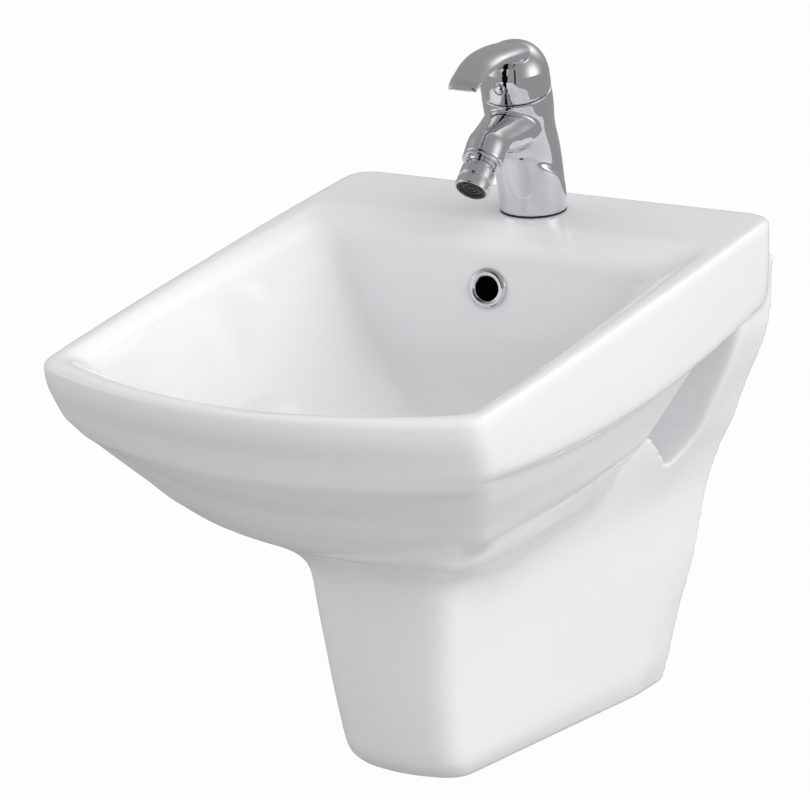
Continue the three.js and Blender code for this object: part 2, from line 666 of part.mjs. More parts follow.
function tapBody() {
  const spigotOuter = cylinder(SPIGOT_R, -SPIGOT_DEPTH, GASKET_THICKNESS + OVERRUN, FINE);
  const nutBore = cylinder(NUT_R + GAP, -NUT_DEPTH - GAP, OVERRUN, FINE).applyMatrix4(headMatrix);
  const chamber = cylinder(CARTRIDGE_R + GAP, -cartridgeFloor, 0, FINE).applyMatrix4(headMatrix);
  const socketR = BALL_R + RUNNING_GAP;
  const socket = cylinder(socketR, -socketR, BALL_R, FINE).applyMatrix4(nozzleMatrix);
  const chamberHeight = headCentre.z - cartridgeFloor;
  const spoutWay = ballCentre.clone().sub(new THREE.Vector3(0, headCentre.y, chamberHeight + WATERWAY_R * 2));
  const wayLength = spoutWay.length();
  const wayTilt = toDegrees(Math.atan2(-spoutWay.y, spoutWay.z));
  const waterway = cylinder(WATERWAY_R, 0, wayLength, COARSE).rotateX(toRadians(wayTilt));
  waterway.translate(0, headCentre.y, chamberHeight + WATERWAY_R * 2);
  const studBore = cylinder(TAP_STUD_R + GAP, -SPIGOT_DEPTH - OVERRUN, TAP_STUD_R * 3, COARSE);
  studBore.translate(0, -TAP_STUD_SETBACK, 0);
  const liftBore = cylinder(ROD_R + RUNNING_GAP, -SPIGOT_DEPTH - OVERRUN, headCentre.z, COARSE);
  liftBore.translate(0, LIFT_SETBACK, 0);
  const inletBores = inletPlaces.flatMap((x) => [
    cylinder(INLET_R + GAP, -SPIGOT_DEPTH - OVERRUN, INLET_R * 2 + GAP, COARSE).translate(x, 0, 0),
    cylinder(INLET_R / 2, INLET_R * 2, chamberHeight + OVERRUN, HEX * 2).translate(x, 0, 0),
  ]);
  return joined(tapColumn(), tapSpout(), spigotOuter)
    .subtract(joined(nutBore, chamber, socket, waterway))
    .subtract(joined(studBore, liftBore, ...inletBores));
}

// Lever: a hollow dome on the head with a paddle that levels out towards the user.
// Shares of the paddle: reach, half width of HEAD_R, top height and thickness of LEVER_HEIGHT.
const PADDLE_SHARES = [
  { reach: 0.08, half: 0.52, top: 0.82, thick: 0.4 },
  { reach: 0.23, half: 0.66, top: 0.93, thick: 0.4 },
  { reach: 0.41, half: 0.66, top: 1.0, thick: 0.3 },
  { reach: 0.59, half: 0.61, top: 1.02, thick: 0.22 },
  { reach: 0.75, half: 0.55, top: 0.97, thick: 0.17 },
  { reach: 0.88, half: 0.5, top: 0.85, thick: 0.15 },
  { reach: 0.96, half: 0.48, top: 0.74, thick: 0.13 },
  { reach: 1.0, half: 0.44, top: 0.64, thick: 0.1 },
];

function paddle() {
  const rings = PADDLE_SHARES.map(({ reach, half, top, thick }) => {
    const width = half * HEAD_R;
    const height = headCentre.z + top * LEVER_HEIGHT;
    const middle = height - (thick * LEVER_HEIGHT) / 2;
    return ovalRing(1, 1, new THREE.Vector3(), 0, COARSE).map(({ x, y }) => {
      const across = Math.sign(x) * Math.abs(x) ** 0.6 * width;
      const up = (Math.sign(y) * Math.abs(y) ** 0.75 * thick * LEVER_HEIGHT) / 2;
      const crown = (1 - x * x) * LEVER_HEIGHT * 0.04;
      return new THREE.Vector3(across, -LEVER_REACH * reach, middle + up + crown);
    });
  });
  return loft(rings).applyMatrix4(headInverse);
}

function leverHandle() {
  const domeProfile = [
    [0, GAP * 2],
    [HEAD_R, GAP * 2],
    [HEAD_R, LEVER_HEIGHT * 0.32],
    [HEAD_R * 0.96, LEVER_HEIGHT * 0.52],
    [HEAD_R * 0.84, LEVER_HEIGHT * 0.72],
    [HEAD_R * 0.6, LEVER_HEIGHT * 0.9],
    [HEAD_R * 0.3, LEVER_HEIGHT * 0.98],
    [0, LEVER_HEIGHT],
  ];
  const hollow = cylinder(LEVER_HOLLOW_R, -OVERRUN, LEVER_HOLLOW_HEIGHT, FINE);
  const boss = box(STEM_SIDE * 2, STEM_SIDE * 2, LEVER_HOLLOW_HEIGHT / 2, LEVER_HOLLOW_HEIGHT + OVERRUN);
  const stemSide = STEM_SIDE + GAP * 2;
  const stemHole = box(stemSide, stemSide, -OVERRUN, LEVER_HOLLOW_HEIGHT);
  const grubHole = alongY(cylinder(GRUB_R + GAP, 0, HEAD_R + OVERRUN, HEX * 2));
  grubHole.translate(0, -HEAD_R - OVERRUN, GRUB_HEIGHT);
  const plugHole = alongY(cylinder(INDEX_R + GAP, 0, INDEX_R + OVERRUN, COARSE));
  plugHole.translate(0, -HEAD_R - OVERRUN, GRUB_HEIGHT);
  const slope = Math.tan(toRadians(LEVER_LIFT + 1));
  const far = HEAD_R * 2;
  const reliefPoints = [[0, -far], [far, -far], [far, far * slope + GAP * 2], [0, GAP * 2]];
  const relief = sidePrism(reliefPoints, 0, -far, far);
  return joined(turned(domeProfile, FINE), paddle())
    .subtract(solid(hollow).subtract(solid(boss)))
    .subtract(joined(stemHole, grubHole, plugHole))
    .subtract(solid(relief));
}

function headPieces() {
  const nutProfile = [
    [CARTRIDGE_R * 0.64, -NUT_DEPTH],
    [NUT_R, -NUT_DEPTH],
    [NUT_R, 0],
    [NUT_R - PIPE_WALL, PIVOT_HEIGHT],
    [CARTRIDGE_R * 0.64, PIVOT_HEIGHT],
    [CARTRIDGE_R * 0.64, -NUT_DEPTH],
  ];
  const neckR = CARTRIDGE_R * 0.6;
  const cartridgeProfile = [
    [0, -CARTRIDGE_DEPTH],
    [CARTRIDGE_R, -CARTRIDGE_DEPTH],
    [CARTRIDGE_R, -NUT_DEPTH - GAP],
    [neckR, -NUT_DEPTH - GAP],
    [neckR, -NUT_DEPTH / 3],
    [0, -NUT_DEPTH / 3],
  ];
  const carrierBottom = -NUT_DEPTH / 3 + GAP;
  const slotSide = STEM_SIDE + RUNNING_GAP * 2;
  const slot = box(slotSide, neckR * 1.7, 0, PIVOT_HEIGHT + OVERRUN * 2);
  const carrier = solid(cylinder(neckR, carrierBottom, PIVOT_HEIGHT + GAP)).subtract(solid(slot));
  const stem = box(STEM_SIDE, STEM_SIDE, PIVOT_HEIGHT / 2, LEVER_HOLLOW_HEIGHT - GAP);
  const grubStart = -STEM_SIDE / 2 - GAP - HEAD_R / 2;
  const grub = alongY(cylinder(GRUB_R, 0, HEAD_R / 2)).translate(0, grubStart, GRUB_HEIGHT);
  const plug = alongY(cylinder(INDEX_R, 0, INDEX_R, COARSE)).translate(0, -HEAD_R - GAP, GRUB_HEIGHT);
  return group(headCentre.toArray(), TAP_LEAN, [
    piece('cartridge_body', turned(cartridgeProfile), WHITE_PLASTIC),
    piece('cartridge_nut', turned(nutProfile), BRASS),
    piece('cartridge_carrier', carrier, DARK_PLASTIC),
    piece('cartridge_stem', stem, STEEL),
    piece('lever_handle', leverHandle(), CHROME),
    piece('lever_screw', grub, STEEL),
    piece('index_plug', plug, DARK_PLASTIC),
  ]);
}

function nozzlePieces() {
  const collarEnd = COLLAR_START + COLLAR_THICKNESS;
  const collarProfile = [
    [COLLAR_LIP_R + PIPE_WALL, COLLAR_START],
    [SPOUT_R, COLLAR_START],
    [SPOUT_R, collarEnd - GAP * 2],
    [SPOUT_R - GAP * 2, collarEnd],
    [COLLAR_LIP_R, collarEnd],
    [COLLAR_LIP_R, collarEnd - PIPE_WALL],
    [COLLAR_LIP_R + PIPE_WALL, COLLAR_START],
  ];
  const ballSteps = 7;
  const ballBack = Math.asin(-0.8);
  const ballFront = Math.acos(OUTLET_NECK_R / BALL_R);
  const ballArc = Array.from({ length: ballSteps + 1 }, (_, i) => {
    const angle = lerp(ballBack, ballFront, i / ballSteps);
    return [Math.cos(angle) * BALL_R, Math.sin(angle) * BALL_R];
  });
  const neckEnd = AERATOR_START + PIPE_WALL;
  const ballStart = [WATERWAY_R, Math.sin(ballBack) * BALL_R];
  const ballProfile = [ballStart, ...ballArc, [OUTLET_NECK_R, neckEnd], [WATERWAY_R, neckEnd], ballStart];
  const seatBack = -BALL_R * 0.94;
  const seatFront = -BALL_R * 0.8;
  const seatInner = BALL_R * 0.64;
  const houseEnd = AERATOR_START + AERATOR_LENGTH;
  const bandEdge = AERATOR_START + AERATOR_LENGTH / 2;
  const boreR = AERATOR_R - PIPE_WALL;
  const houseProfile = [
    [OUTLET_NECK_R + GAP, AERATOR_START],
    [AERATOR_R - GAP * 2, AERATOR_START],
    [AERATOR_R, AERATOR_START + GAP * 2],
    [AERATOR_R, bandEdge - GAP * 2],
    [AERATOR_R - GAP * 3, bandEdge],
    [AERATOR_R, bandEdge + GAP * 2],
    [AERATOR_R, houseEnd - GAP * 2],
    [AERATOR_R - GAP * 2, houseEnd],
    [boreR, houseEnd],
    [boreR, neckEnd + GAP],
    [OUTLET_NECK_R + GAP, neckEnd + GAP],
    [OUTLET_NECK_R + GAP, AERATOR_START],
  ];
  const washerEnd = neckEnd + GAP * 2 + PIPE_WALL;
  const insertR = boreR - GAP;
  return group(ballCentre.toArray(), nozzleTurn, [
    piece('nozzle_collar', turned(collarProfile, FINE), CHROME),
    piece('nozzle_seat_ring', tube(BALL_R, seatInner, seatBack, seatFront), WHITE_PLASTIC),
    piece('nozzle_ball', turned(ballProfile, FINE), CHROME),
    piece('aerator_housing', turned(houseProfile, FINE), CHROME),
    piece('aerator_washer', tube(insertR, WATERWAY_R, neckEnd + GAP * 2, washerEnd), RUBBER),
    piece('aerator_insert', cylinder(insertR, washerEnd + GAP, houseEnd - GAP * 3), DARK_PLASTIC),
  ]);
}

// What clamps the tap to the deck, and its inlets

function tapFixing() {
  const deckBottom = -DECK_THICKNESS;
  const plateTop = deckBottom - PAD_THICKNESS;
  const plateBottom = plateTop - PLATE_THICKNESS;
  const shoe = (bottom, top) => {
    const slotWidth = INLET_CENTRES_WIDTH + INLET_R * 2 + GAP * 8;
    const slotStart = TAP_STUD_R + GAP - TAP_STUD_SETBACK + OVERRUN;
    const slot = box(slotWidth, CLAMP_R * 2, bottom - OVERRUN, top + OVERRUN);
    slot.translate(0, slotStart + CLAMP_R, 0);
    const hole = cylinder(TAP_STUD_R + GAP, bottom - OVERRUN, top + OVERRUN);
    hole.translate(0, -TAP_STUD_SETBACK, 0);
    return solid(cylinder(CLAMP_R, bottom, top, FINE)).subtract(joined(slot)).subtract(solid(hole));
  };
  const stud = cylinder(TAP_STUD_R, TAP_STUD_R * 2 - TAP_STUD_LENGTH, TAP_STUD_R * 2);
  stud.translate(0, -TAP_STUD_SETBACK, 0);
  const nutHeight = TAP_STUD_R * 2;
  const nutBore = solid(cylinder(TAP_STUD_R + GAP, plateBottom - nutHeight - OVERRUN, plateBottom + OVERRUN));
  const nut = solid(hexagon(TAP_STUD_R * 1.7, plateBottom - nutHeight, plateBottom)).subtract(nutBore);
  const nipple = (x) => {
    const shank = cylinder(INLET_R, plateBottom - INLET_R * 2, INLET_R * 2);
    const bore = cylinder(INLET_R / 2, plateBottom - INLET_R * 3, INLET_R * 3, HEX * 2);
    return solid(shank).subtract(solid(bore)).translate([x, 0, 0]);
  };
  return [
    piece('tap_base_gasket', tube(FOOT_R - GAP, SPIGOT_R + GAP, 0, GASKET_THICKNESS, FINE), RUBBER),
    piece('tap_stud', stud, STEEL),
    piece('tap_clamp_pad', shoe(plateTop, deckBottom), RUBBER),
    piece('tap_clamp_plate', shoe(plateBottom, plateTop), STEEL),
    piece('tap_clamp_nut', nut.translate([0, -TAP_STUD_SETBACK, 0]), BRASS),
    piece('cold_inlet_nipple', nipple(inletPlaces[1]), BRASS),
    piece('hot_inlet_nipple', nipple(inletPlaces[0]), BRASS),
  ];
}

// Pop-up linkage: knob and rod behind the tap, strap, pivot rod and plug

const liftY = LIFT_SETBACK - TAP_OFFSET;
const armOuter = drainOffset + liftY - ARM_INNER;
const knobBottom = HEAD_REACH * 0.8;
const strapTop = -pivotDrop + LIFT_TRAVEL * 3.5;
const strapBottom = -pivotDrop - LIFT_TRAVEL;

function liftPieces() {
  const lugHeight = STRAP_WIDTH;
  const rodBottom = strapTop - lugHeight;
  const knobTop = knobBottom + ROD_R * 4;
  const knobR = ROD_R * 2.1;
  const knobProfile = [
    [0, knobBottom],
    [knobR * 0.7, knobBottom],
    [knobR, knobBottom + ROD_R],
    [knobR, knobTop - ROD_R],
    [knobR * 0.6, knobTop],
    [0, knobTop],
  ];
  const rod = cylinder(ROD_R, rodBottom, knobBottom, HEX * 2);
  const plateY = ROD_R + GAP * 2;
  const plate = box(STRAP_WIDTH, STRAP_THICKNESS, strapBottom, strapTop);
  plate.translate(0, plateY + STRAP_THICKNESS / 2, 0);
  const lug = box(STRAP_WIDTH, plateY * 2, strapTop - lugHeight, strapTop);
  const rodHole = cylinder(ROD_R + GAP, strapTop - lugHeight - OVERRUN, strapTop + OVERRUN, HEX * 2);
  const pinHoles = [-1, 0, 1].map((step) => {
    const hole = alongY(cylinder(ROD_R * 1.6, -WALL, WALL, HEX * 2));
    return hole.translate(0, 0, -pivotDrop + step * STRAP_WIDTH);
  });
  const screwR = ROD_R * 0.8;
  const screwZ = strapTop - lugHeight / 2;
  const screwStart = ROD_R + GAP * 2;
  const screwHole = alongY(cylinder(screwR + GAP, 0, WALL, HEX * 2)).translate(0, 0, screwZ);
  const headStart = plateY + STRAP_THICKNESS + GAP;
  const screwProfile = [
    [0, screwStart],
    [screwR, screwStart],
    [screwR, headStart],
    [screwR * 2, headStart],
    [screwR * 2, headStart + screwR * 2],
    [0, headStart + screwR * 2],
  ];
  const screw = alongY(turned(screwProfile, HEX * 2)).translate(0, 0, screwZ);
  const strap = joined(plate, lug).subtract(joined(rodHole, screwHole, ...pinHoles));
  return group([0, liftY, 0], 0, [
    piece('lift_rod', rod, CHROME),
    piece('lift_knob', turned(knobProfile), CHROME),
    piece('clevis_strap', strap, STEEL),
    piece('clevis_screw', screw, BRASS),
  ]);
}

function wastePieces() {
  const flangeTop = -drainDrop + PIPE_WALL * 2;
  const flangeR = DRAIN_SEAT_R - PIPE_WALL;
  const neckBottom = -drainBossDrop - PIPE_R * 1.6;
  const sealTop = -drainDrop + PIPE_WALL * 0.6;
  const flangeProfile = [
    [WASTE_BORE_R, neckBottom],
    [WASTE_R, neckBottom],
    [WASTE_R, sealTop],
    [flangeR, sealTop],
    [flangeR, flangeTop - GAP],
    [WASTE_R, flangeTop],
    [WASTE_BORE_R, -drainDrop],
    [WASTE_BORE_R, neckBottom],
  ];
  const window = box(DUCT_R * 2, WASTE_R * 3, -DUCT_FOOT_DROP - DUCT_R, -DUCT_FOOT_DROP + DUCT_R);
  const flange = solid(turned(flangeProfile, FINE)).subtract(solid(window));
  const gasketTop = -drainBossDrop;
  const gasketBottom = gasketTop - PIPE_WALL * 2;
  const nutBottom = gasketBottom - WASTE_R / 2;
  const nutBore = solid(cylinder(WASTE_R + GAP, nutBottom - OVERRUN, gasketBottom + OVERRUN, FINE));
  const backNut = solid(hexagon(WASTE_R * 1.5, nutBottom, gasketBottom)).subtract(nutBore);
  const socketTop = nutBottom - GAP * 2;
  const socketBottom = neckBottom - PIPE_WALL;
  const socketR = WASTE_R + PIPE_WALL * 2;
  const tailBottom = -trapTopDrop - PIPE_R / 2;
  const tailProfile = [
    [PIPE_R - PIPE_WALL, tailBottom],
    [PIPE_R, tailBottom],
    [PIPE_R, socketBottom - PIPE_WALL * 2],
    [socketR, socketBottom],
    [socketR, socketTop],
    [WASTE_R + GAP, socketTop],
    [WASTE_R + GAP, socketBottom],
    [PIPE_R - PIPE_WALL, socketBottom - PIPE_WALL],
    [PIPE_R - PIPE_WALL, tailBottom],
  ];
  const portR = ROD_R * 3.4;
  const pivotBallR = ROD_R * 2;
  const portStart = PIPE_R - PIPE_WALL;
  const portEnd = ARM_INNER + pivotBallR;
  const port = alongY(cylinder(portR, portStart, portEnd)).translate(0, 0, -pivotDrop);
  const portBore = alongY(cylinder(pivotBallR + RUNNING_GAP, 0, portEnd + OVERRUN));
  portBore.translate(0, 0, -pivotDrop);
  const tail = joined(turned(tailProfile, FINE), port).subtract(solid(portBore));
  const pivotNutInner = portR + GAP;
  const nutFace = portEnd + GAP;
  const pivotNutProfile = [
    [pivotNutInner, ARM_INNER - pivotBallR],
    [pivotNutInner + PIPE_WALL * 2, ARM_INNER - pivotBallR],
    [pivotNutInner + PIPE_WALL * 2, nutFace + PIPE_WALL],
    [ROD_R * 1.9, nutFace + PIPE_WALL],
    [ROD_R * 1.9, nutFace],
    [pivotNutInner, nutFace],
    [pivotNutInner, ARM_INNER - pivotBallR],
  ];
  const pivotNut = alongY(turned(pivotNutProfile)).translate(0, 0, -pivotDrop);
  const rodFront = -ROD_R;
  const rodBack = ARM_INNER + armOuter + WALL;
  const pivotRod = joined(
    alongY(cylinder(ROD_R, rodFront, rodBack, HEX * 2)),
    new THREE.SphereGeometry(pivotBallR, COARSE, COARSE / 2).translate(0, ARM_INNER, 0),
  ).translate([0, 0, -pivotDrop]);
  const lugSide = ROD_R * 4;
  const plugDrop = (LIFT_TRAVEL * ARM_INNER) / armOuter;
  const discBottom = flangeTop + plugDrop + GAP;
  const discR = WASTE_R * 1.2;
  const eyeBottom = -pivotDrop - lugSide;
  const plugProfile = [
    [0, eyeBottom],
    [lugSide / 2, eyeBottom],
    [lugSide / 2, -pivotDrop + lugSide],
    [ROD_R * 1.4, -pivotDrop + lugSide * 1.4],
    [ROD_R * 1.4, discBottom],
    [discR, discBottom],
    [discR, discBottom + PIPE_WALL],
    [discR * 0.6, discBottom + PIPE_WALL * 2.4],
    [0, discBottom + PIPE_WALL * 3],
  ];
  const eyeHalf = ROD_R * 1.6;
  const eye = box(ROD_R * 2 + GAP * 3, lugSide * 2, -pivotDrop - eyeHalf, -pivotDrop + eyeHalf);
  const plug = solid(turned(plugProfile)).subtract(solid(eye));
  return group([0, -drainOffset, 0], 0, [
    piece('waste_top_seal', tube(flangeR - PIPE_WALL, WASTE_R + GAP, -drainDrop, sealTop, FINE), RUBBER),
    piece('waste_flange', flange, CHROME),
    piece('waste_bottom_seal', tube(WASTE_R * 1.4, WASTE_R + GAP, gasketBottom, gasketTop, FINE), RUBBER),
    piece('waste_back_nut', backNut, BRASS),
    piece('waste_body', tail, CHROME),
    piece('waste_plug', plug, CHROME),
    piece('pivot_nut', pivotNut, CHROME),
    piece('pivot_rod', pivotRod, STEEL),
  ]);
}

// Bottle trap under the waste, its outlet running back to the wall

function trapPieces() {
  const nutR = TRAP_HEAD_R;
  const nutTop = -trapTopDrop + PIPE_R;
  const nutLip = nutTop - PIPE_WALL * 2;
  const innerR = PIPE_R + PIPE_WALL + GAP * 2;
  const inletNutProfile = [
    [innerR, -trapTopDrop + GAP],
    [nutR, -trapTopDrop + GAP],
    [nutR, nutTop],
    [PIPE_R + GAP, nutTop],
    [PIPE_R + GAP, nutLip],
    [innerR, nutLip],
    [innerR, -trapTopDrop + GAP],
  ];
  const armR = PIPE_R + PIPE_WALL + GAP;
  const armEnd = TRAP_HEAD_R + PIPE_R;
  const armDrop = trapOutletDrop + PIPE_WALL;
  const cupTop = -armDrop - armR - RUNNING_GAP;
  const headBottom = cupTop - PIPE_R / 2;
  const dipBottom = -trapBottomDrop + PIPE_R;
  const dipOuter = PIPE_R * 0.8;
  const dipInner = dipOuter - PIPE_WALL;
  const headInner = TRAP_HEAD_R - PIPE_WALL;
  const bodyProfile = [
    [dipInner, dipBottom],
    [dipOuter, dipBottom],
    [dipOuter, -trapTopDrop - PIPE_R * 0.8],
    [headInner, -trapTopDrop - PIPE_R * 0.7],
    [headInner, headBottom],
    [TRAP_HEAD_R, headBottom],
    [TRAP_HEAD_R, -trapTopDrop - PIPE_R / 2],
    [PIPE_R + PIPE_WALL + GAP, -trapTopDrop - PIPE_R / 2],
    [PIPE_R + PIPE_WALL + GAP, -trapTopDrop + PIPE_WALL * 4],
    [PIPE_R + GAP, -trapTopDrop + PIPE_WALL * 4],
    [PIPE_R + GAP, -trapTopDrop - PIPE_R * 0.55],
    [dipInner, -trapTopDrop - PIPE_R * 0.6],
    [dipInner, dipBottom],
  ];
  const arm = alongY(cylinder(armR, headInner, armEnd, COARSE)).translate(0, 0, -armDrop);
  const armBore = alongY(cylinder(PIPE_R + GAP, headInner - PIPE_WALL * 3, armEnd + OVERRUN, COARSE));
  armBore.translate(0, 0, -armDrop);
  const head = joined(turned(bodyProfile, FINE), arm).subtract(solid(armBore));
  const cupProfile = [
    [0, -trapBottomDrop],
    [CUP_R * 0.8, -trapBottomDrop],
    [CUP_R, -trapBottomDrop + PIPE_R / 2],
    [CUP_R, cupTop],
    [TRAP_HEAD_R + GAP, cupTop],
    [TRAP_HEAD_R + GAP, headBottom - PIPE_WALL],
    [CUP_R - PIPE_WALL * 2, headBottom - PIPE_WALL],
    [CUP_R - PIPE_WALL * 2, -trapBottomDrop + PIPE_R / 2],
    [CUP_R * 0.7, -trapBottomDrop + PIPE_WALL * 2],
    [0, -trapBottomDrop + PIPE_WALL * 2],
  ];
  const cup = turned(cupProfile, FINE);
  const pipeStart = armEnd - PIPE_R / 2;
  const pipe = alongY(tube(PIPE_R, PIPE_R - PIPE_WALL, pipeStart, drainOffset)).translate(0, 0, -armDrop);
  const outletNutProfile = [
    [armR + GAP, armEnd - PIPE_R * 0.6],
    [armR + PIPE_WALL * 2, armEnd - PIPE_R * 0.6],
    [armR + PIPE_WALL * 2, armEnd + PIPE_WALL * 2],
    [PIPE_R + GAP, armEnd + PIPE_WALL * 2],
    [PIPE_R + GAP, armEnd + GAP],
    [armR + GAP, armEnd + GAP],
    [armR + GAP, armEnd - PIPE_R * 0.6],
  ];
  const outletNut = alongY(turned(outletNutProfile)).translate(0, 0, -armDrop);
  return group([0, -drainOffset, 0], 0, [
    piece('trap_inlet_nut', turned(inletNutProfile, FINE), CHROME),
    piece('trap_body', head, CHROME),
    piece('trap_cup', cup, CHROME),
    piece('trap_outlet_nut', outletNut, CHROME),
    piece('trap_outlet_pipe', pipe, CHROME),
  ]);
}

const tap = group([0, -TAP_OFFSET, 0], 0, [
  piece('tap_body', tapBody(), CHROME),
  headPieces(),
  nozzlePieces(),
  ...tapFixing(),
]);

const bidet = group([0, 0, STUD_DROP], 0, [
  piece('ceramic_body', ceramicBody(), GLAZE),
  overflowRing(),
  ...wallFixing('right', STUD_CENTRES_WIDTH / 2),
  ...wallFixing('left', -STUD_CENTRES_WIDTH / 2),
  tap,
  liftPieces(),
  wastePieces(),
  trapPieces(),
]);

const assembly = new THREE.Group();
assembly.add(bidet);

export default assembly;
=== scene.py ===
"""Looks of a wall hung bidet: glazed casting, lever mixer tap, pop-up waste, bottle trap and wall fixings.

Sizes are in millimetres in the tables and in metres in the scene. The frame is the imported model's:
+X to the right of someone facing the wall, +Y into the wall, +Z up, the rim 100 mm above the origin.
"""

import json
import logging
import math
from dataclasses import dataclass
from enum import Enum
from typing import Sequence

import bmesh
import bpy
import numpy as np
from mathutils import Matrix, Vector

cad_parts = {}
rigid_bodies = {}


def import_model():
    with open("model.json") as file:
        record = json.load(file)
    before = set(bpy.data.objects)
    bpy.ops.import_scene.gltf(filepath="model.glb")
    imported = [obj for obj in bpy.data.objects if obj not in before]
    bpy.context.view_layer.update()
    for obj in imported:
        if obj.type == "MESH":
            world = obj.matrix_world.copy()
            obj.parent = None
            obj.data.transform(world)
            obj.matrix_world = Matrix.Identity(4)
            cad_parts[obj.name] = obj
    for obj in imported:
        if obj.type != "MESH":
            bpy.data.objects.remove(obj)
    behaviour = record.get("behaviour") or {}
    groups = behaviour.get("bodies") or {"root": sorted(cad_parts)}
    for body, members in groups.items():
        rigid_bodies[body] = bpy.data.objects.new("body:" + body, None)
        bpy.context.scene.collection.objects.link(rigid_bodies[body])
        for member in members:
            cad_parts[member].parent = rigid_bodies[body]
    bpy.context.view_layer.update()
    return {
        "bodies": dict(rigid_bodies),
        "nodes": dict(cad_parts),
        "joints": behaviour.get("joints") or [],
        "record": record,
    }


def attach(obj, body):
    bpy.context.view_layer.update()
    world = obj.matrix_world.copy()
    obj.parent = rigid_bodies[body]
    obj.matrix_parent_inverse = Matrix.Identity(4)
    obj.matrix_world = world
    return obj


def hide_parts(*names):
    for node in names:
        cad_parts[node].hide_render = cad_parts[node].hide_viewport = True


LOG = logging.getLogger("bidet")
MM = 0.001
FINE_STEPS = 96
Profile = Sequence[tuple[float, float]]
Table = Sequence[tuple[float, ...]]
Triple = tuple[float, float, float]
Thing = bpy.types.Object
Socket = bpy.types.NodeSocket
Points = np.ndarray


class Slot(Enum):
    """Material slots of the record."""

    GLAZE = "glaze"
    CHROME = "chrome"
    BRASS = "brass"
    STEEL = "steel"
    RUBBER = "rubber"
    WHITE_PLASTIC = "white_plastic"
    DARK_PLASTIC = "dark_plastic"


class Body(Enum):
    """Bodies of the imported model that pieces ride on."""

    FIXTURE = "fixture"
    LEVER = "lever"
    SWIVEL = "nozzle_swivel"
    NOZZLE = "nozzle"
    LIFT = "lift"
    PIVOT = "pivot"
    PLUG = "plug"


# Shader graphs


@dataclass(frozen=True)
class Value:
    """A number socket that takes part in Python expressions."""

    graph: "Graph"
    socket: Socket

    def _math(self, operation: str, first: "Value | float", second: "Value | float") -> "Value":
        """Adds one Math node.

        Args:
            operation: Blender's name of the operation.
            first: Its first value.
            second: Its second value.

        Returns:
            The node's result.
        """
        made = self.graph.node("Math", {"operation": operation}, {0: first, 1: second})
        return Value(self.graph, made[0])

    def __add__(self, other: "Value | float") -> "Value":
        """Sum."""
        return self._math("ADD", self, other)

    __radd__ = __add__

    def __sub__(self, other: "Value | float") -> "Value":
        """Difference."""
        return self._math("SUBTRACT", self, other)

    def __rsub__(self, other: "Value | float") -> "Value":
        """Difference from a number."""
        return self._math("SUBTRACT", other, self)

    def __mul__(self, other: "Value | float") -> "Value":
        """Product."""
        return self._math("MULTIPLY", self, other)

    __rmul__ = __mul__

    def __pow__(self, other: "Value | float") -> "Value":
        """Power."""
        return self._math("POWER", self, other)

    def above(self, edge: float) -> "Value":
        """1 where the value is more than edge, else 0."""
        return self._math("GREATER_THAN", self, edge)

    def larger(self, other: "Value | float") -> "Value":
        """The larger of two values."""
        return self._math("MAXIMUM", self, other)


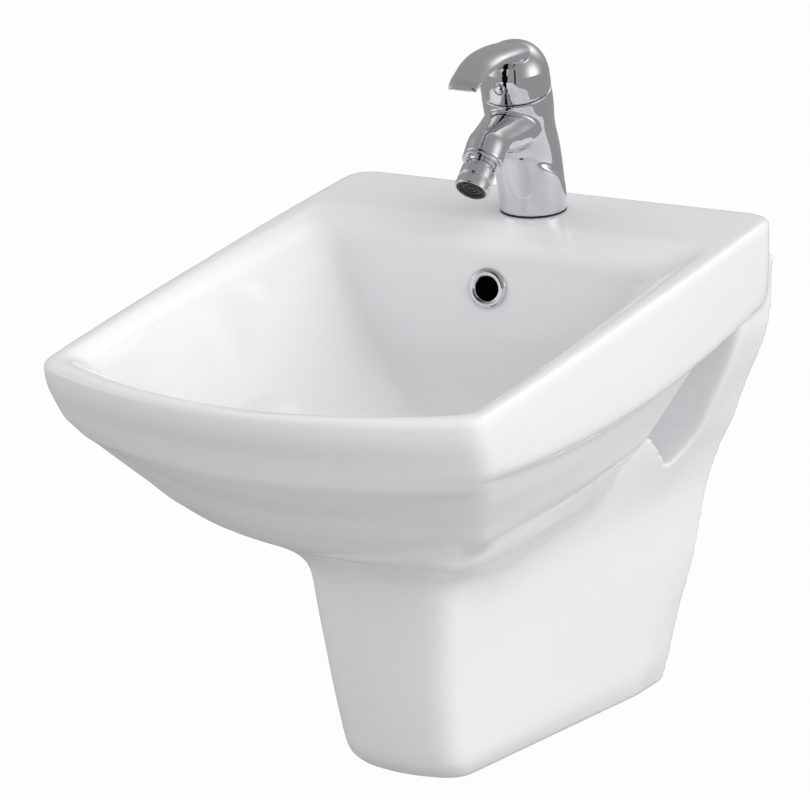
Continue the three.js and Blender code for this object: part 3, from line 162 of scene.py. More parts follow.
class Graph:
    """The nodes of one material or of the world."""

    def __init__(self, tree: bpy.types.NodeTree) -> None:
        """Empties the tree.

        Args:
            tree: The node tree to fill.
        """
        self.tree = tree
        tree.nodes.clear()

    def node(
        self,
        kind: str,
        settings: dict[str, object] | None = None,
        inputs: dict[int | str, object] | None = None,
    ) -> list[Socket]:
        """Makes a node, its settings first and then its sockets.

        Args:
            kind: The node's type without its prefix.
            settings: Attributes of the node.
            inputs: Socket index or name to a value, a socket or a Value.

        Returns:
            The node's output sockets.
        """
        made = self.tree.nodes.new(f"ShaderNode{kind}")
        for name, value in (settings or {}).items():
            setattr(made, name, value)
        for key, value in (inputs or {}).items():
            self._feed(made.inputs[key], value)
        return list(made.outputs)

    def _feed(self, socket: Socket, value: object) -> None:
        """Links or sets one socket."""
        if isinstance(value, Value):
            self.tree.links.new(value.socket, socket)
        elif isinstance(value, Socket):
            self.tree.links.new(value, socket)
        else:
            socket.default_value = value

    def noise(self, scale: float, detail: float = 2.0, coordinates: Socket | None = None) -> Value:
        """Smooth noise over the object, in the row frame.

        Args:
            scale: Waves per metre.
            detail: Octaves.
            coordinates: Place vector, the object's own by default.

        Returns:
            Values round 0.5.
        """
        place = coordinates or self.node("TexCoord")[3]
        made = self.node("TexNoise", None, {"Vector": place, "Scale": scale, "Detail": detail})
        return Value(self, made[0])

    def stretched(self, along: Triple) -> Socket:
        """The object's coordinates, scaled axis by axis."""
        place = self.node("TexCoord")[3]
        return self.node("VectorMath", {"operation": "MULTIPLY"}, {0: place, 1: along})[0]

    def within(self, centre: Triple, reach: Triple) -> Value:
        """1 inside a box of the row frame, given by its centre and half sizes, else 0."""
        place = self.node("TexCoord")[3]
        offset = self.node("VectorMath", {"operation": "SUBTRACT"}, {0: place, 1: centre})[0]
        away = self.node("VectorMath", {"operation": "ABSOLUTE"}, {0: offset})[0]
        x, y, z = (Value(self, part) for part in self.node("SeparateXYZ", None, {0: away}))
        return 1.0 - x.above(reach[0]).larger(y.above(reach[1])).larger(z.above(reach[2]))

    def blend(self, amount: Value, first: Sequence[float] | Socket, second: Sequence[float]) -> Socket:
        """A colour between two, by an amount from 0 to 1."""
        start = first if isinstance(first, Socket) else (*first, 1.0)
        return self.node("Mix", {"data_type": "RGBA"}, {0: amount, 6: start, 7: (*second, 1.0)})[2]

    def bump(self, height: Value, strength: float, distance: float) -> Socket:
        """A normal bent by a height in metres times distance."""
        return self.node("Bump", None, {"Height": height, "Strength": strength, "Distance": distance})[0]

    def seen(self) -> tuple[Value, Value]:
        """1 where a camera ray or one through glass arrives, and 1 where a mirrored one does."""
        path = self.node("LightPath")
        return Value(self, path[0]).larger(Value(self, path[6])), Value(self, path[3])

    def shining(self, grey: float) -> Socket:
        """A surface that shines evenly in a grey."""
        return self.node("Emission", None, {"Color": (grey, grey, grey, 1.0), "Strength": 1.0})[0]

    def finish(self, shader: Socket) -> None:
        """Connects a shader to the output."""
        kind = "OutputWorld" if isinstance(self.tree.id_data, bpy.types.World) else "OutputMaterial"
        self.node(kind, None, {0: shader})


def fresh_material(name: str) -> tuple[bpy.types.Material, Graph]:
    """A new material and its empty graph."""
    made = bpy.data.materials.new(name)
    made.use_nodes = True
    return made, Graph(made.node_tree)


# Finishes

# Near-black colour of painted shade.
PAINTED_SHADE_TONE = (0.004, 0.004, 0.004)


@dataclass(frozen=True)
class Finish:
    """A surface finish with colour drift, uneven gloss and a fine relief.

    The two tones are linear colours, the gloss pair is the roughness range, the scales are waves
    per metre and the relief is in millimetres. The shade is painted shade: a box made near black.
    """

    slot: Slot
    tone: Triple
    second_tone: Triple
    gloss: tuple[float, float]
    drift_scale: float
    gloss_scale: float
    relief_scale: float
    relief: float
    metallic: float = 0.0
    coat: float = 0.0
    stretch: Triple = (1.0, 1.0, 1.0)
    shade: tuple[Triple, Triple] | None = None

    def material(self) -> bpy.types.Material:
        """Builds the node material, once for each finish."""
        name = f"{self.slot.value}_finish"
        found = bpy.data.materials.get(name)
        if found:
            return found
        made, graph = fresh_material(name)
        place = graph.stretched(self.stretch)
        low, high = self.gloss
        drift = graph.noise(self.drift_scale, 2.0)
        uneven = graph.noise(self.gloss_scale, 3.0, place)
        tone = graph.blend(drift, self.tone, self.second_tone)
        # Painted shade: the box is mixed to near black in the base colour, standing in for the shadow inside
        # the overflow.
        if self.shade:
            tone = graph.blend(graph.within(*self.shade), tone, PAINTED_SHADE_TONE)
        inputs: dict[int | str, object] = {
            "Base Color": tone,
            "Metallic": self.metallic,
            "Roughness": low + (high - low) * uneven,
            "Coat Weight": self.coat,
            "Coat Roughness": low,
            "Normal": graph.bump(graph.noise(self.relief_scale, 2.0, place), 1.0, self.relief * MM),
        }
        graph.finish(graph.node("BsdfPrincipled", None, inputs)[0])
        return made


FINISHES: dict[Slot, Finish] = {
    finish.slot: finish
    for finish in (
        Finish(
            Slot.GLAZE, (0.875, 0.885, 0.90), (0.895, 0.90, 0.91), (0.05, 0.11),
            drift_scale=5.0, gloss_scale=12.0, relief_scale=40.0, relief=0.02, coat=0.2,
            # Painted shade: the overflow mouth and duct are made near black in the glaze colour.
            shade=((0.0, -0.107, 0.062), (0.0125, 0.0195, 0.0165)),
        ),
        Finish(
            Slot.CHROME, (0.70, 0.71, 0.73), (0.76, 0.765, 0.78), (0.03, 0.08), metallic=1.0,
            drift_scale=20.0, gloss_scale=60.0, relief_scale=90.0, relief=0.004,
        ),
        Finish(
            Slot.BRASS, (0.60, 0.42, 0.17), (0.68, 0.50, 0.24), (0.22, 0.42), metallic=1.0,
            drift_scale=60.0, gloss_scale=90.0, relief_scale=900.0, relief=0.03,
        ),
        Finish(
            Slot.STEEL, (0.50, 0.51, 0.53), (0.62, 0.62, 0.64), (0.2, 0.45), metallic=1.0,
            drift_scale=80.0, gloss_scale=300.0, relief_scale=1500.0, relief=0.02, stretch=(1.0, 0.15, 1.0),
        ),
        Finish(
            Slot.RUBBER, (0.018, 0.018, 0.02), (0.035, 0.035, 0.037), (0.55, 0.85),
            drift_scale=60.0, gloss_scale=200.0, relief_scale=1200.0, relief=0.06,
        ),
        Finish(
            Slot.WHITE_PLASTIC, (0.72, 0.72, 0.70), (0.78, 0.78, 0.76), (0.3, 0.5),
            drift_scale=40.0, gloss_scale=200.0, relief_scale=1500.0, relief=0.03,
        ),
        Finish(
            Slot.DARK_PLASTIC, (0.02, 0.02, 0.022), (0.04, 0.04, 0.043), (0.25, 0.5),
            drift_scale=40.0, gloss_scale=200.0, relief_scale=1500.0, relief=0.03,
        ),
    )
}


# Places


def turn_x(degrees: float) -> Matrix:
    """Turn about X."""
    return Matrix.Rotation(math.radians(degrees), 4, "X")


def shift(x: float, y: float, z: float) -> Matrix:
    """Shift in millimetres."""
    return Matrix.Translation((x, y, z))


RIM_HEIGHT = 100.0
TAP_OFFSET = 51.0
TAP_LEAN = 13.0
HEAD_REACH = 100.0
NOZZLE_TURN = 130.0
DRAIN_OFFSET = 225.0
LIFT_OFFSET = 37.0
SEAT_OFFSET = 46.0
STUD_DROP = 100.0
STUD_REACH = 90.0
STUD_SIDES = (("right", STUD_REACH), ("left", -STUD_REACH))
OVERFLOW_SETBACK = 130.1
OVERFLOW_DROP = 38.0
OVERFLOW_SLOPE = 10.76
DRAIN_DROP = 131.0
CLAMP_OFFSET = 12.0
CLEVIS_DROP = 104.0
PIVOT_DROP = 203.0
ARM_DROP = 266.5
SCREW_LEVEL = 14.0
OVERRUN = 2.0
LEAN = math.radians(TAP_LEAN)
HEAD_CENTRE = (0.0, -math.sin(LEAN) * HEAD_REACH, math.cos(LEAN) * HEAD_REACH)
BALL_CENTRE = (0.0, -78.5, 62.0)
RIM = shift(0.0, 0.0, RIM_HEIGHT)
ALONG_Y = turn_x(-90.0)
TAP = RIM @ shift(0.0, -TAP_OFFSET, 0.0)
HEAD = TAP @ shift(*HEAD_CENTRE) @ turn_x(TAP_LEAN)
NOZZLE = TAP @ shift(*BALL_CENTRE) @ turn_x(NOZZLE_TURN)
WASTE = RIM @ shift(0.0, -DRAIN_OFFSET, 0.0)
LIFT = RIM @ shift(0.0, -LIFT_OFFSET, 0.0)
OVERFLOW = RIM @ shift(0.0, -OVERFLOW_SETBACK, -OVERFLOW_DROP) @ turn_x(90.0 - OVERFLOW_SLOPE)
PIVOT = WASTE @ shift(0.0, 0.0, -PIVOT_DROP) @ ALONG_Y
ARM = WASTE @ shift(0.0, 0.0, -ARM_DROP) @ ALONG_Y


def stud_seat(x: float) -> Matrix:
    """Where a wall stud sits, its axis towards the wall."""
    return RIM @ shift(x, -SEAT_OFFSET, -STUD_DROP) @ ALONG_Y


def screw_axis(y: float) -> Matrix:
    """A place on the lever screw's axis."""
    return HEAD @ shift(0.0, y, SCREW_LEVEL) @ ALONG_Y


def moved(points: Points, place: Matrix) -> Points:
    """Points in millimetres of a local frame as metres of the row frame."""
    matrix = np.array(place, float)
    return (points @ matrix[:3, :3].T + matrix[:3, 3]) * MM


# Meshes

MERGE = 1e-6
EASE_STEP = 0.5
ZONE_STEP = 0.6
ZONE_CORE = 1.5
BODY_EDGE = 0.3
BODY_ANGLE = 40.0
BODY_SEGMENTS = 2


def linked(name: str, data: bpy.types.ID) -> Thing:
    """A new object in the scene."""
    made = bpy.data.objects.new(name, data)
    bpy.context.scene.collection.objects.link(made)
    return made


def circle(steps: int) -> Points:
    """Even angles once round."""
    return np.arange(steps) / steps * 2 * math.pi


@dataclass
class Shell:
    """Points and faces of one closed surface, in millimetres."""

    points: Points
    faces: list[tuple[int, ...]]

    def placed(self, place: Matrix, name: str) -> Thing:
        """Makes an object of it in the row frame, its faces turned outward."""
        mesh = bpy.data.meshes.new(name)
        mesh.from_pydata(moved(self.points, place).tolist(), [], self.faces)
        work = bmesh.new()
        work.from_mesh(mesh)
        bmesh.ops.remove_doubles(work, verts=work.verts, dist=MERGE)
        bmesh.ops.recalc_face_normals(work, faces=work.faces)
        work.to_mesh(mesh)
        work.free()
        return linked(name, mesh)


def loft(rings: Sequence[Points]) -> Shell:
    """Skin over rings with equal counts, closed by a fan at both ends."""
    count = len(rings[0])
    points = np.vstack([*rings, rings[0].mean(0, keepdims=True), rings[-1].mean(0, keepdims=True)])
    faces: list[tuple[int, ...]] = []
    for level in range(len(rings) - 1):
        start = level * count
        for i in range(count):
            j = (i + 1) % count
            faces.append((start + i, start + j, start + j + count, start + i + count))
    bottom, top = len(points) - 2, len(points) - 1
    last = (len(rings) - 1) * count
    for i in range(count):
        j = (i + 1) % count
        faces.append((bottom, j, i))
        faces.append((top, last + i, last + j))
    return Shell(points, faces)


def lathe(profile: Profile) -> Shell:
    """Turns a profile of (radius, height) round Z; a profile that starts off the axis is a ring."""
    closed = profile[0] == profile[-1]
    outline = list(profile[:-1] if closed else profile)
    steps = FINE_STEPS
    angles = circle(steps)
    rows = [
        np.stack([np.cos(angles) * radius, np.sin(angles) * radius, np.full(steps, height)], 1)
        for radius, height in outline
    ]
    count = len(rows)
    faces = [
        (a * steps + i, a * steps + (i + 1) % steps, b * steps + (i + 1) % steps, b * steps + i)
        for a, b in ((a, (a + 1) % count) for a in range(count if closed else count - 1))
        for i in range(steps)
    ]
    return Shell(np.vstack(rows), faces)


def block(low: Sequence[float], high: Sequence[float]) -> Shell:
    """A box between two corners."""
    (x0, y0, z0), (x1, y1, z1) = low, high
    points = np.array([(x, y, z) for z in (z0, z1) for y in (y0, y1) for x in (x0, x1)], float)
    faces = [(0, 2, 3, 1), (4, 5, 7, 6), (0, 1, 5, 4), (2, 6, 7, 3), (0, 4, 6, 2), (1, 3, 7, 5)]
    return Shell(points, faces)


def solid(radius: float, bottom: float, top: float) -> Profile:
    """Outline of a plain rod."""
    return ((0, bottom), (radius, bottom), (radius, top), (0, top))


def rod(radius: float, bottom: float, top: float) -> Shell:
    """A cylinder along Z."""
    return lathe(solid(radius, bottom, top))


def applied(made: Thing) -> Thing:
    """Fixes the modifiers of an object into its mesh."""
    bpy.context.view_layer.update()
    graph = bpy.context.evaluated_depsgraph_get()
    mesh = bpy.data.meshes.new_from_object(made.evaluated_get(graph))
    made.modifiers.clear()
    made.data = mesh
    return made


class Cut(Enum):
    """How one body is worked into another."""

    ADD = "UNION"
    TAKE = "DIFFERENCE"


def worked(target: Thing, tool: Thing, cut: Cut) -> None:
    """Adds or takes one body and removes the tool.

    Args:
        target: The body that stays.
        tool: The body that is added or taken.
        cut: Which of the two.
    """
    modifier = target.modifiers.new("work", "BOOLEAN")
    modifier.operation = cut.value
    modifier.solver = "MANIFOLD"
    modifier.object = tool
    applied(target)
    bpy.data.objects.remove(tool)


def add(target: Thing, shell: Shell, place: Matrix) -> None:
    """Joins a shell to a body."""
    worked(target, shell.placed(place, "added"), Cut.ADD)


def take(target: Thing, shell: Shell, place: Matrix) -> None:
    """Takes a shell out of a body."""
    worked(target, shell.placed(place, "taken"), Cut.TAKE)


def remeshed(made: Thing, grid: float) -> Thing:
    """Gives the surface an even grid in millimetres, which lets its edges soften."""
    modifier = made.modifiers.new("grid", "REMESH")
    modifier.mode = "VOXEL"
    modifier.voxel_size = grid * MM
    return applied(made)


@dataclass(frozen=True)
class Zone:
    """A place where a surface is eased: centre and reach in metres of the row frame, and steps."""

    centre: Triple
    reach: Triple
    steps: int

    def weight(self, points: Points) -> Points:
        """How much each point moves: fully near the centre, less and less towards the reach."""
        offset = (points - np.array(self.centre)) / np.array(self.reach)
        near = np.clip(ZONE_CORE * (1.0 - np.linalg.norm(offset, axis=1)), 0.0, 1.0)
        return (near * near * (3 - 2 * near))[:, None]


def pair(centre: Triple, reach: Triple, steps: int) -> list[Zone]:
    """A zone on the right and its mirror image on the left."""
    x, y, z = centre
    return [Zone((side * x, y, z), reach, steps) for side in (1.0, -1.0)]


class Skin:
    """The points of an even mesh and the edges between them, for easing its surface."""

    def __init__(self, made: Thing) -> None:
        """Reads the mesh.

        Args:
            made: An object with an even grid.
        """
        self.mesh = made.data
        count = len(self.mesh.vertices)
        self.points = self._read("vertices", "co", count * 3).reshape(-1, 3)
        self.normals = self._read("vertices", "normal", count * 3).reshape(-1, 3)
        edges = self._read("edges", "vertices", len(self.mesh.edges) * 2).astype(np.int64)
        self.start, self.end = edges.reshape(-1, 2).T
        degree = np.bincount(self.start, minlength=count) + np.bincount(self.end, minlength=count)
        self.degree = np.maximum(degree, 1)[:, None]

    def _read(self, group: str, name: str, count: int) -> Points:
        """One attribute of the mesh as a flat array."""
        kind = np.int32 if group == "edges" else np.float32
        values = np.empty(count, kind)
        getattr(self.mesh, group).foreach_get(name, values)
        return values if group == "edges" else values.astype(float)

    def pull(self) -> Points:
        """The way from each point to the middle of its neighbours."""
        count = len(self.points)
        total = np.stack(
            [
                np.bincount(self.start, self.points[self.end, axis], count)
                + np.bincount(self.end, self.points[self.start, axis], count)
                for axis in range(3)
            ],
            1,
        )
        return total / self.degree - self.points

    def under(self, zone: Zone) -> tuple["Skin", Points, Points]:
        """Cuts out what a zone reaches, which makes the steps there quick.

        Args:
            zone: The place.

        Returns:
            The cut skin, its points' numbers in this one and their weights.
        """
        weight = zone.weight(self.points)
        near = weight[:, 0] > 0
        kept = near[self.start] | near[self.end]
        numbers, ends = np.unique(np.stack([self.start[kept], self.end[kept]]), return_inverse=True)
        patch = object.__new__(Skin)
        patch.mesh = self.mesh
        patch.points, patch.normals = self.points[numbers], self.normals[numbers]
        patch.start, patch.end = ends.reshape(2, -1)
        patch.degree = self.degree[numbers]
        return patch, numbers, weight[numbers]

    def soften(self, steps: int, zones: Sequence[Zone] = ()) -> "Skin":
        """Rounds edges by moving points towards their neighbours' middle.

        Args:
            steps: Steps over the whole surface.
            zones: Places with more steps.

        Returns:
            The skin.
        """
        for _ in range(steps):
            self.points = self.points + EASE_STEP * self.pull()
        for zone in zones:
            patch, numbers, weight = self.under(zone)
            for _ in range(zone.steps):
                patch.points = patch.points + ZONE_STEP * weight * patch.pull()
            self.points[numbers] = patch.points
        return self

    def fill(self, zones: Sequence[Zone]) -> "Skin":
        """Fills inner corners with a round, and leaves outer ones.

        Args:
            zones: Places where the corners are filled.

        Returns:
            The skin.
        """
        for zone in zones:
            patch, numbers, weight = self.under(zone)
            for _ in range(zone.steps):
                pull = patch.pull()
                lift = np.sum(pull * patch.normals, axis=1, keepdims=True)
                patch.points = patch.points + np.where(lift > 0.0, ZONE_STEP * weight * pull, 0.0)
            self.points[numbers] = patch.points
        return self

    def store(self) -> None:
        """Writes the points back into the mesh."""
        self.mesh.vertices.foreach_set("co", self.points.ravel())
        self.mesh.update()


def thinned(made: Thing, faces: int) -> Thing:
    """Joins faces where the surface is flat, down to a number of triangles."""
    triangles = sum(len(face.vertices) - 2 for face in made.data.polygons)
    if triangles <= faces:
        return made
    modifier = made.modifiers.new("thin", "DECIMATE")
    modifier.ratio = faces / triangles
    return applied(made)


def rounded(made: Thing, width: float, angle: float = 34.0, segments: int = 3) -> None:
    """Breaks the edges of a turned or milled piece and shades it by its faces' size.

    Args:
        made: The piece, which is changed.
        width: Width of the broken edge in millimetres.
        angle: Least angle between faces in degrees at which an edge is broken.
        segments: Steps round the edge.
    """
    bevel = made.modifiers.new("edge", "BEVEL")
    bevel.width = width * MM
    bevel.segments = segments
    bevel.limit_method = "ANGLE"
    bevel.angle_limit = math.radians(angle)
    bevel.use_clamp_overlap = True
    applied(made)
    weighted = made.modifiers.new("shade", "WEIGHTED_NORMAL")
    weighted.keep_sharp = False


class Dresser:
    """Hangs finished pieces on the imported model."""

    def __init__(self, frame: dict) -> None:
        """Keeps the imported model.
        """
        self.frame = frame
        self.count = 0

    def hang(self, made: Thing, body: Body, slot: Slot, node: str) -> None:
        """Gives a piece its finish, its body and the node that it stands for.

        Args:
            made: The piece, in place.
            body: What it rides on.
            slot: Its material slot.
            node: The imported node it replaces.
        """
        made.data.materials.clear()
        made.data.materials.append(FINISHES[slot].material())
        made.data.shade_smooth()
        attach(made, body.value)
        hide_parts(node)
        self.count += 1
        LOG.info("piece %s rides on %s as %s", made.name, body.value, slot.value)

    def keep(self, node: str, slot: Slot) -> None:
        """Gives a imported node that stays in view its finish."""
        shown = self.frame["nodes"][node]
        material = FINISHES[slot].material()
        if not shown.material_slots:
            shown.data.materials.append(material)
        for place in shown.material_slots:
            place.material = material
        LOG.info("node %s kept as %s", node, slot.value)


# Curves through tables


def through(
    table: Points, sizes: Sequence[float], creases: Sequence[int], steps: int, smooth: Sequence[int] = ()
) -> Points:
    """Smooth rows between the rows of a table, without overshoot and with creases where asked.

    Args:
        table: Rows of shares.
        sizes: What each column is worth in millimetres, to measure the way between rows.
        creases: Rows at which the curve may break.
        steps: Rows made for each gap.
        smooth: Columns without those creases.

    Returns:
        The finer table.
    """
    way = np.linalg.norm(np.diff(table * np.array(sizes), axis=0), axis=1)
    slopes = np.diff(table, axis=0) / way[:, None]
    last = len(table) - 1
    tangents = np.zeros((2, *table.shape))
    for row in range(len(table)):
        tangents[0, row] = slopes[min(row, last - 1)]
        tangents[1, row] = slopes[max(row - 1, 0)]
        if 0 < row < last:
            columns = list(smooth) if row in creases else slice(None)
            before, after = slopes[row - 1], slopes[row]
            heavy, light = 2 * way[row] + way[row - 1], way[row] + 2 * way[row - 1]
            same = before * after > 0
            safe_before = np.where(same, before, 1.0)
            safe_after = np.where(same, after, 1.0)
            tangent = np.where(same, (heavy + light) / (heavy / safe_before + light / safe_after), 0.0)
            tangents[:, row, columns] = tangent[columns]
    rows = []
    for row in range(last):
        share = (np.arange(steps) / steps)[:, None]
        square, cube = share**2, share**3
        rows.append(
            table[row] * (2 * cube - 3 * square + 1)
            + tangents[0, row] * way[row] * (cube - 2 * square + share)
            + table[row + 1] * (3 * square - 2 * cube)
            + tangents[1, row + 1] * way[row] * (cube - square)
        )
    return np.vstack([*rows, table[-1:]])


def bend(start: Points, corner: Points, end: Points, steps: int) -> Points:
    """Quadratic curve round a corner."""
    share = (np.arange(steps + 1) / steps)[:, None]
    return start * (1 - share) ** 2 + corner * 2 * share * (1 - share) + end * share**2


def mirrored(half: Points) -> Points:
    """A right half from the middle front to the middle back, closed by its mirror image."""
    left = half[-2:0:-1] * np.array([-1.0, 1.0])
    return np.vstack([half, left])


# Casting


@dataclass
class Casting:
    """The glazed body: rim, bowl, apron, shroud and wings, hollow behind."""

    width: float = 360.0
    depth: float = 526.0
    height: float = 390.0
    wall: float = 10.0
    deck: float = 12.0
    deck_depth: float = 82.0
    rim_fall: float = 3.0
    side_bow: float = 4.0
    corner_radius: float = 13.0
    back_radius: float = 22.0
    shroud_lift: float = 26.0
    shroud_radius: float = 20.0
    shroud_bow: float = 5.0
    wing_depth: float = 44.0
    wing_radius: float = 9.0
    pocket_reach: float = 60.0
    pocket_radius: float = 12.0
    overflow_radius: float = 11.0
    duct_radius: float = 5.5
    boss_drop: float = 150.0
    drain_radius: float = 23.0
    seat_radius: float = 33.0
    boss_radius: float = 37.0
    seat_height: float = 20.0
    tap_hole: float = 17.5
    stud_hole: float = 8.6
    grid: float = 2.2
    faces: int = 190_000
    wave: Triple = (-0.1636, 0.2297, 0.86)
    # Columns: drop, front, corner, rear, front half, rear half, apron
    bowl_rows: Table = (
        (0.492, 0.570, 0.563, 0.420, 0.289, 0.340, 0.0),
        (0.462, 0.620, 0.612, 0.262, 0.400, 0.520, 0.2),
        (0.380, 0.757, 0.703, 0.262, 0.589, 0.662, 0.3),
        (0.318, 0.821, 0.757, 0.300, 0.690, 0.770, 0.6),
        (0.285, 0.855, 0.785, 0.289, 0.730, 0.800, 1.0),
        (0.220, 0.912, 0.834, 0.209, 0.826, 0.844, 1.0),
        (0.164, 0.948, 0.874, 0.133, 0.892, 0.883, 1.0),
        (0.159, 0.951, 0.876, 0.000, 0.907, 0.950, 1.0),
        (0.141, 0.957, 0.884, 0.000, 0.924, 0.958, 1.0),
        (0.012, 0.998, 0.913, 0.000, 0.939, 0.972, 0.0),
        (0.003, 0.996, 0.911, 0.003, 0.932, 0.965, 0.0),
        (0.000, 0.989, 0.903, 0.010, 0.908, 0.942, 0.0),
        (0.000, 0.981, 0.896, 0.156, 0.889, 0.900, 0.0),
        (0.006, 0.969, 0.884, 0.190, 0.864, 0.860, 0.0),
        (0.018, 0.956, 0.871, 0.224, 0.828, 0.811, 0.0),
        (0.033, 0.949, 0.863, 0.236, 0.806, 0.778, 0.0),
        (0.067, 0.932, 0.844, 0.243, 0.767, 0.739, 0.0),
        (0.138, 0.890, 0.798, 0.253, 0.672, 0.667, 0.0),
        (0.231, 0.808, 0.730, 0.274, 0.522, 0.539, 0.0),
        (0.287, 0.713, 0.656, 0.304, 0.344, 0.367, 0.0),
        (0.321, 0.589, 0.563, 0.350, 0.189, 0.200, 0.0),
        (0.333, 0.498, 0.490, 0.373, 0.111, 0.111, 0.0),
    )
    bowl_creases: Sequence[int] = (0, 3, 4, 5, 6, 7, 21)
    bowl_smooth_columns: Sequence[int] = (1, 2)
    rear_shares: Sequence[float] = (0.66, 0.33, 0.0)
    lip_row: int = 15
    apron_top_row: int = 9
    # Columns: drop, front, half, ridge, wall, lift
    shroud_rows: Table = (
        (1.000, 0.505, 0.153, 0.367, 0.378, 1.0),
        (0.992, 0.539, 0.213, 0.406, 0.411, 1.0),
        (0.969, 0.563, 0.238, 0.428, 0.428, 0.95),
        (0.933, 0.579, 0.254, 0.450, 0.450, 0.8),
        (0.849, 0.593, 0.262, 0.475, 0.492, 0.5),
        (0.718, 0.608, 0.278, 0.517, 0.573, 0.2),
        (0.564, 0.617, 0.311, 0.567, 0.642, 0.0),
        (0.477, 0.623, 0.327, 0.645, 0.706, 0.0),
        (0.418, 0.623, 0.333, 0.714, 0.767, 0.0),
        (0.338, 0.612, 0.333, 0.798, 0.831, 0.0),
        (0.267, 0.570, 0.333, 0.864, 0.897, 0.0),
        (0.205, 0.551, 0.333, 0.908, 0.936, 0.0),
        (0.128, 0.532, 0.333, 0.930, 0.950, 0.0),
        (0.077, 0.532, 0.333, 0.941, 0.955, 0.0),
    )
    foot_row: int = 2
    back_row: int = 6
    pocket_outline: Sequence[tuple[float, float]] = (
        (0.0, 0.08), (0.383, 0.08), (0.383, 0.246), (0.1375, 0.364), (0.038, 0.477), (0.0, 0.426),
    )
    front_steps: int = 16
    side_steps: int = 24
    bend_steps: int = 10
    table_steps: int = 5
    shroud_table_steps: int = 4
    shroud_front_steps: int = 8
    shroud_side_steps: int = 10
    shroud_bend_steps: int = 14
    wing_bend_steps: int = 6
    pocket_bend_steps: int = 8
    soft_steps: int = 3
    fillets: Sequence[Zone] = (
        Zone((0.0, -0.330, -0.082), (0.15, 0.08, 0.07), 420),
        *pair((0.070, -0.310, -0.085), (0.07, 0.10, 0.07), 420),
        *pair((0.085, -0.230, -0.085), (0.06, 0.12, 0.05), 300),
        *pair((0.170, -0.240, 0.035), (0.05, 0.30, 0.05), 30),
    )
    evened: Sequence[Zone] = (
        Zone((0.0, -0.330, -0.082), (0.18, 0.08, 0.06), 30),
        *pair((0.085, -0.270, -0.085), (0.06, 0.16, 0.05), 30),
    )

    def _bowl_table(self, rows: slice) -> Points:
        """Finer rows of the bowl between two of its stations."""
        half = self.width / 2
        sizes = [self.height, self.depth, self.depth, self.depth / 4, half, half, 1.0]
        table = np.array(self.bowl_rows[rows], float)
        first = rows.start or 0
        creases = [row - first for row in self.bowl_creases if 0 <= row - first < len(table)]
        return through(table, sizes, creases, self.table_steps, self.bowl_smooth_columns)

    def _wave(self, y: Points) -> Points:
        """How far the apron's lower edge rises or dips along the side."""
        slope, curve, limit = self.wave
        share = np.minimum(-y / self.depth, limit)
        return self.height * (slope * share + curve * share * share)

    def _bowl_ring(self, row: Points, inset: float = 0.0, rise: float = 0.0) -> Points:
        """One level of the bowl, inset from the real surface."""
        drop, front, corner, rear, front_half, rear_half, apron = row
        front, corner = (share * self.depth - inset for share in (front, corner))
        rear = rear * self.depth + inset
        front_half, rear_half = (share * self.width / 2 - inset for share in (front_half, rear_half))
        length = corner - rear
        size = min(1.0, front_half / (self.width / 4), length / (self.depth / 4))
        corner_share = self.corner_radius * size / front_half
        side_share = self.corner_radius * size / length

        def front_at(share: Points) -> Points:
            """Point on the bowed front."""
            share = np.atleast_1d(share)
            return np.stack([front_half * share, -(front - (front - corner) * share * share)], 1)

        def side_at(share: Points) -> Points:
            """Point on the bowed side."""
            share = np.atleast_1d(share)
            bow = self.side_bow * size * 4 * share * (1 - share)
            x = front_half + (rear_half - front_half) * share + bow
            return np.stack([x, -(corner + (rear - corner) * share)], 1)

        radius = min(self.back_radius * size, rear_half / 2, length / 4)
        edge = 1 - radius / length
        flat = 1 - corner_share
        front_corner, rear_corner = np.array([front_half, -corner]), np.array([rear_half, -rear])
        half = np.vstack(
            [
                front_at(np.arange(self.front_steps) / self.front_steps * flat),
                bend(front_at(flat)[0], front_corner, side_at(side_share)[0], self.bend_steps),
                side_at(side_share + (edge - side_share) * np.arange(1, self.side_steps) / self.side_steps),
                bend(side_at(edge)[0], rear_corner, np.array([rear_half - radius, -rear]), self.bend_steps),
                np.array([[rear_half * share, -rear] for share in self.rear_shares]),
            ]
        )
        outline = mirrored(half)
        past_deck = np.maximum(0.0, -outline[:, 1] - self.deck_depth)
        fall = self.rim_fall * past_deck / (self.depth - self.deck_depth)
        level = -drop * self.height + apron * self._wave(outline[:, 1]) - fall + rise
        return np.column_stack([outline, level])

    def _shroud_ring(self, row: Points, inset: float = 0.0, wall_y: float = 0.0, drop: float = 0.0) -> Points:
        """One level of the shroud and its wings."""
        level, front, half, ridge, wall, lift = row
        front = front * self.depth - inset
        half, ridge, wall = (share * self.width / 2 - inset for share in (half, ridge, wall))
        radius = min(self.shroud_radius, half * 0.85)
        corner_y = -(front - self.shroud_bow)
        side = np.array([ridge - half, -self.wing_depth - corner_y])
        length = float(np.linalg.norm(side))
        start = np.array([half, corner_y])

        def along(distance: float) -> Points:
            """Point on the side face."""
            return start + side * distance / length

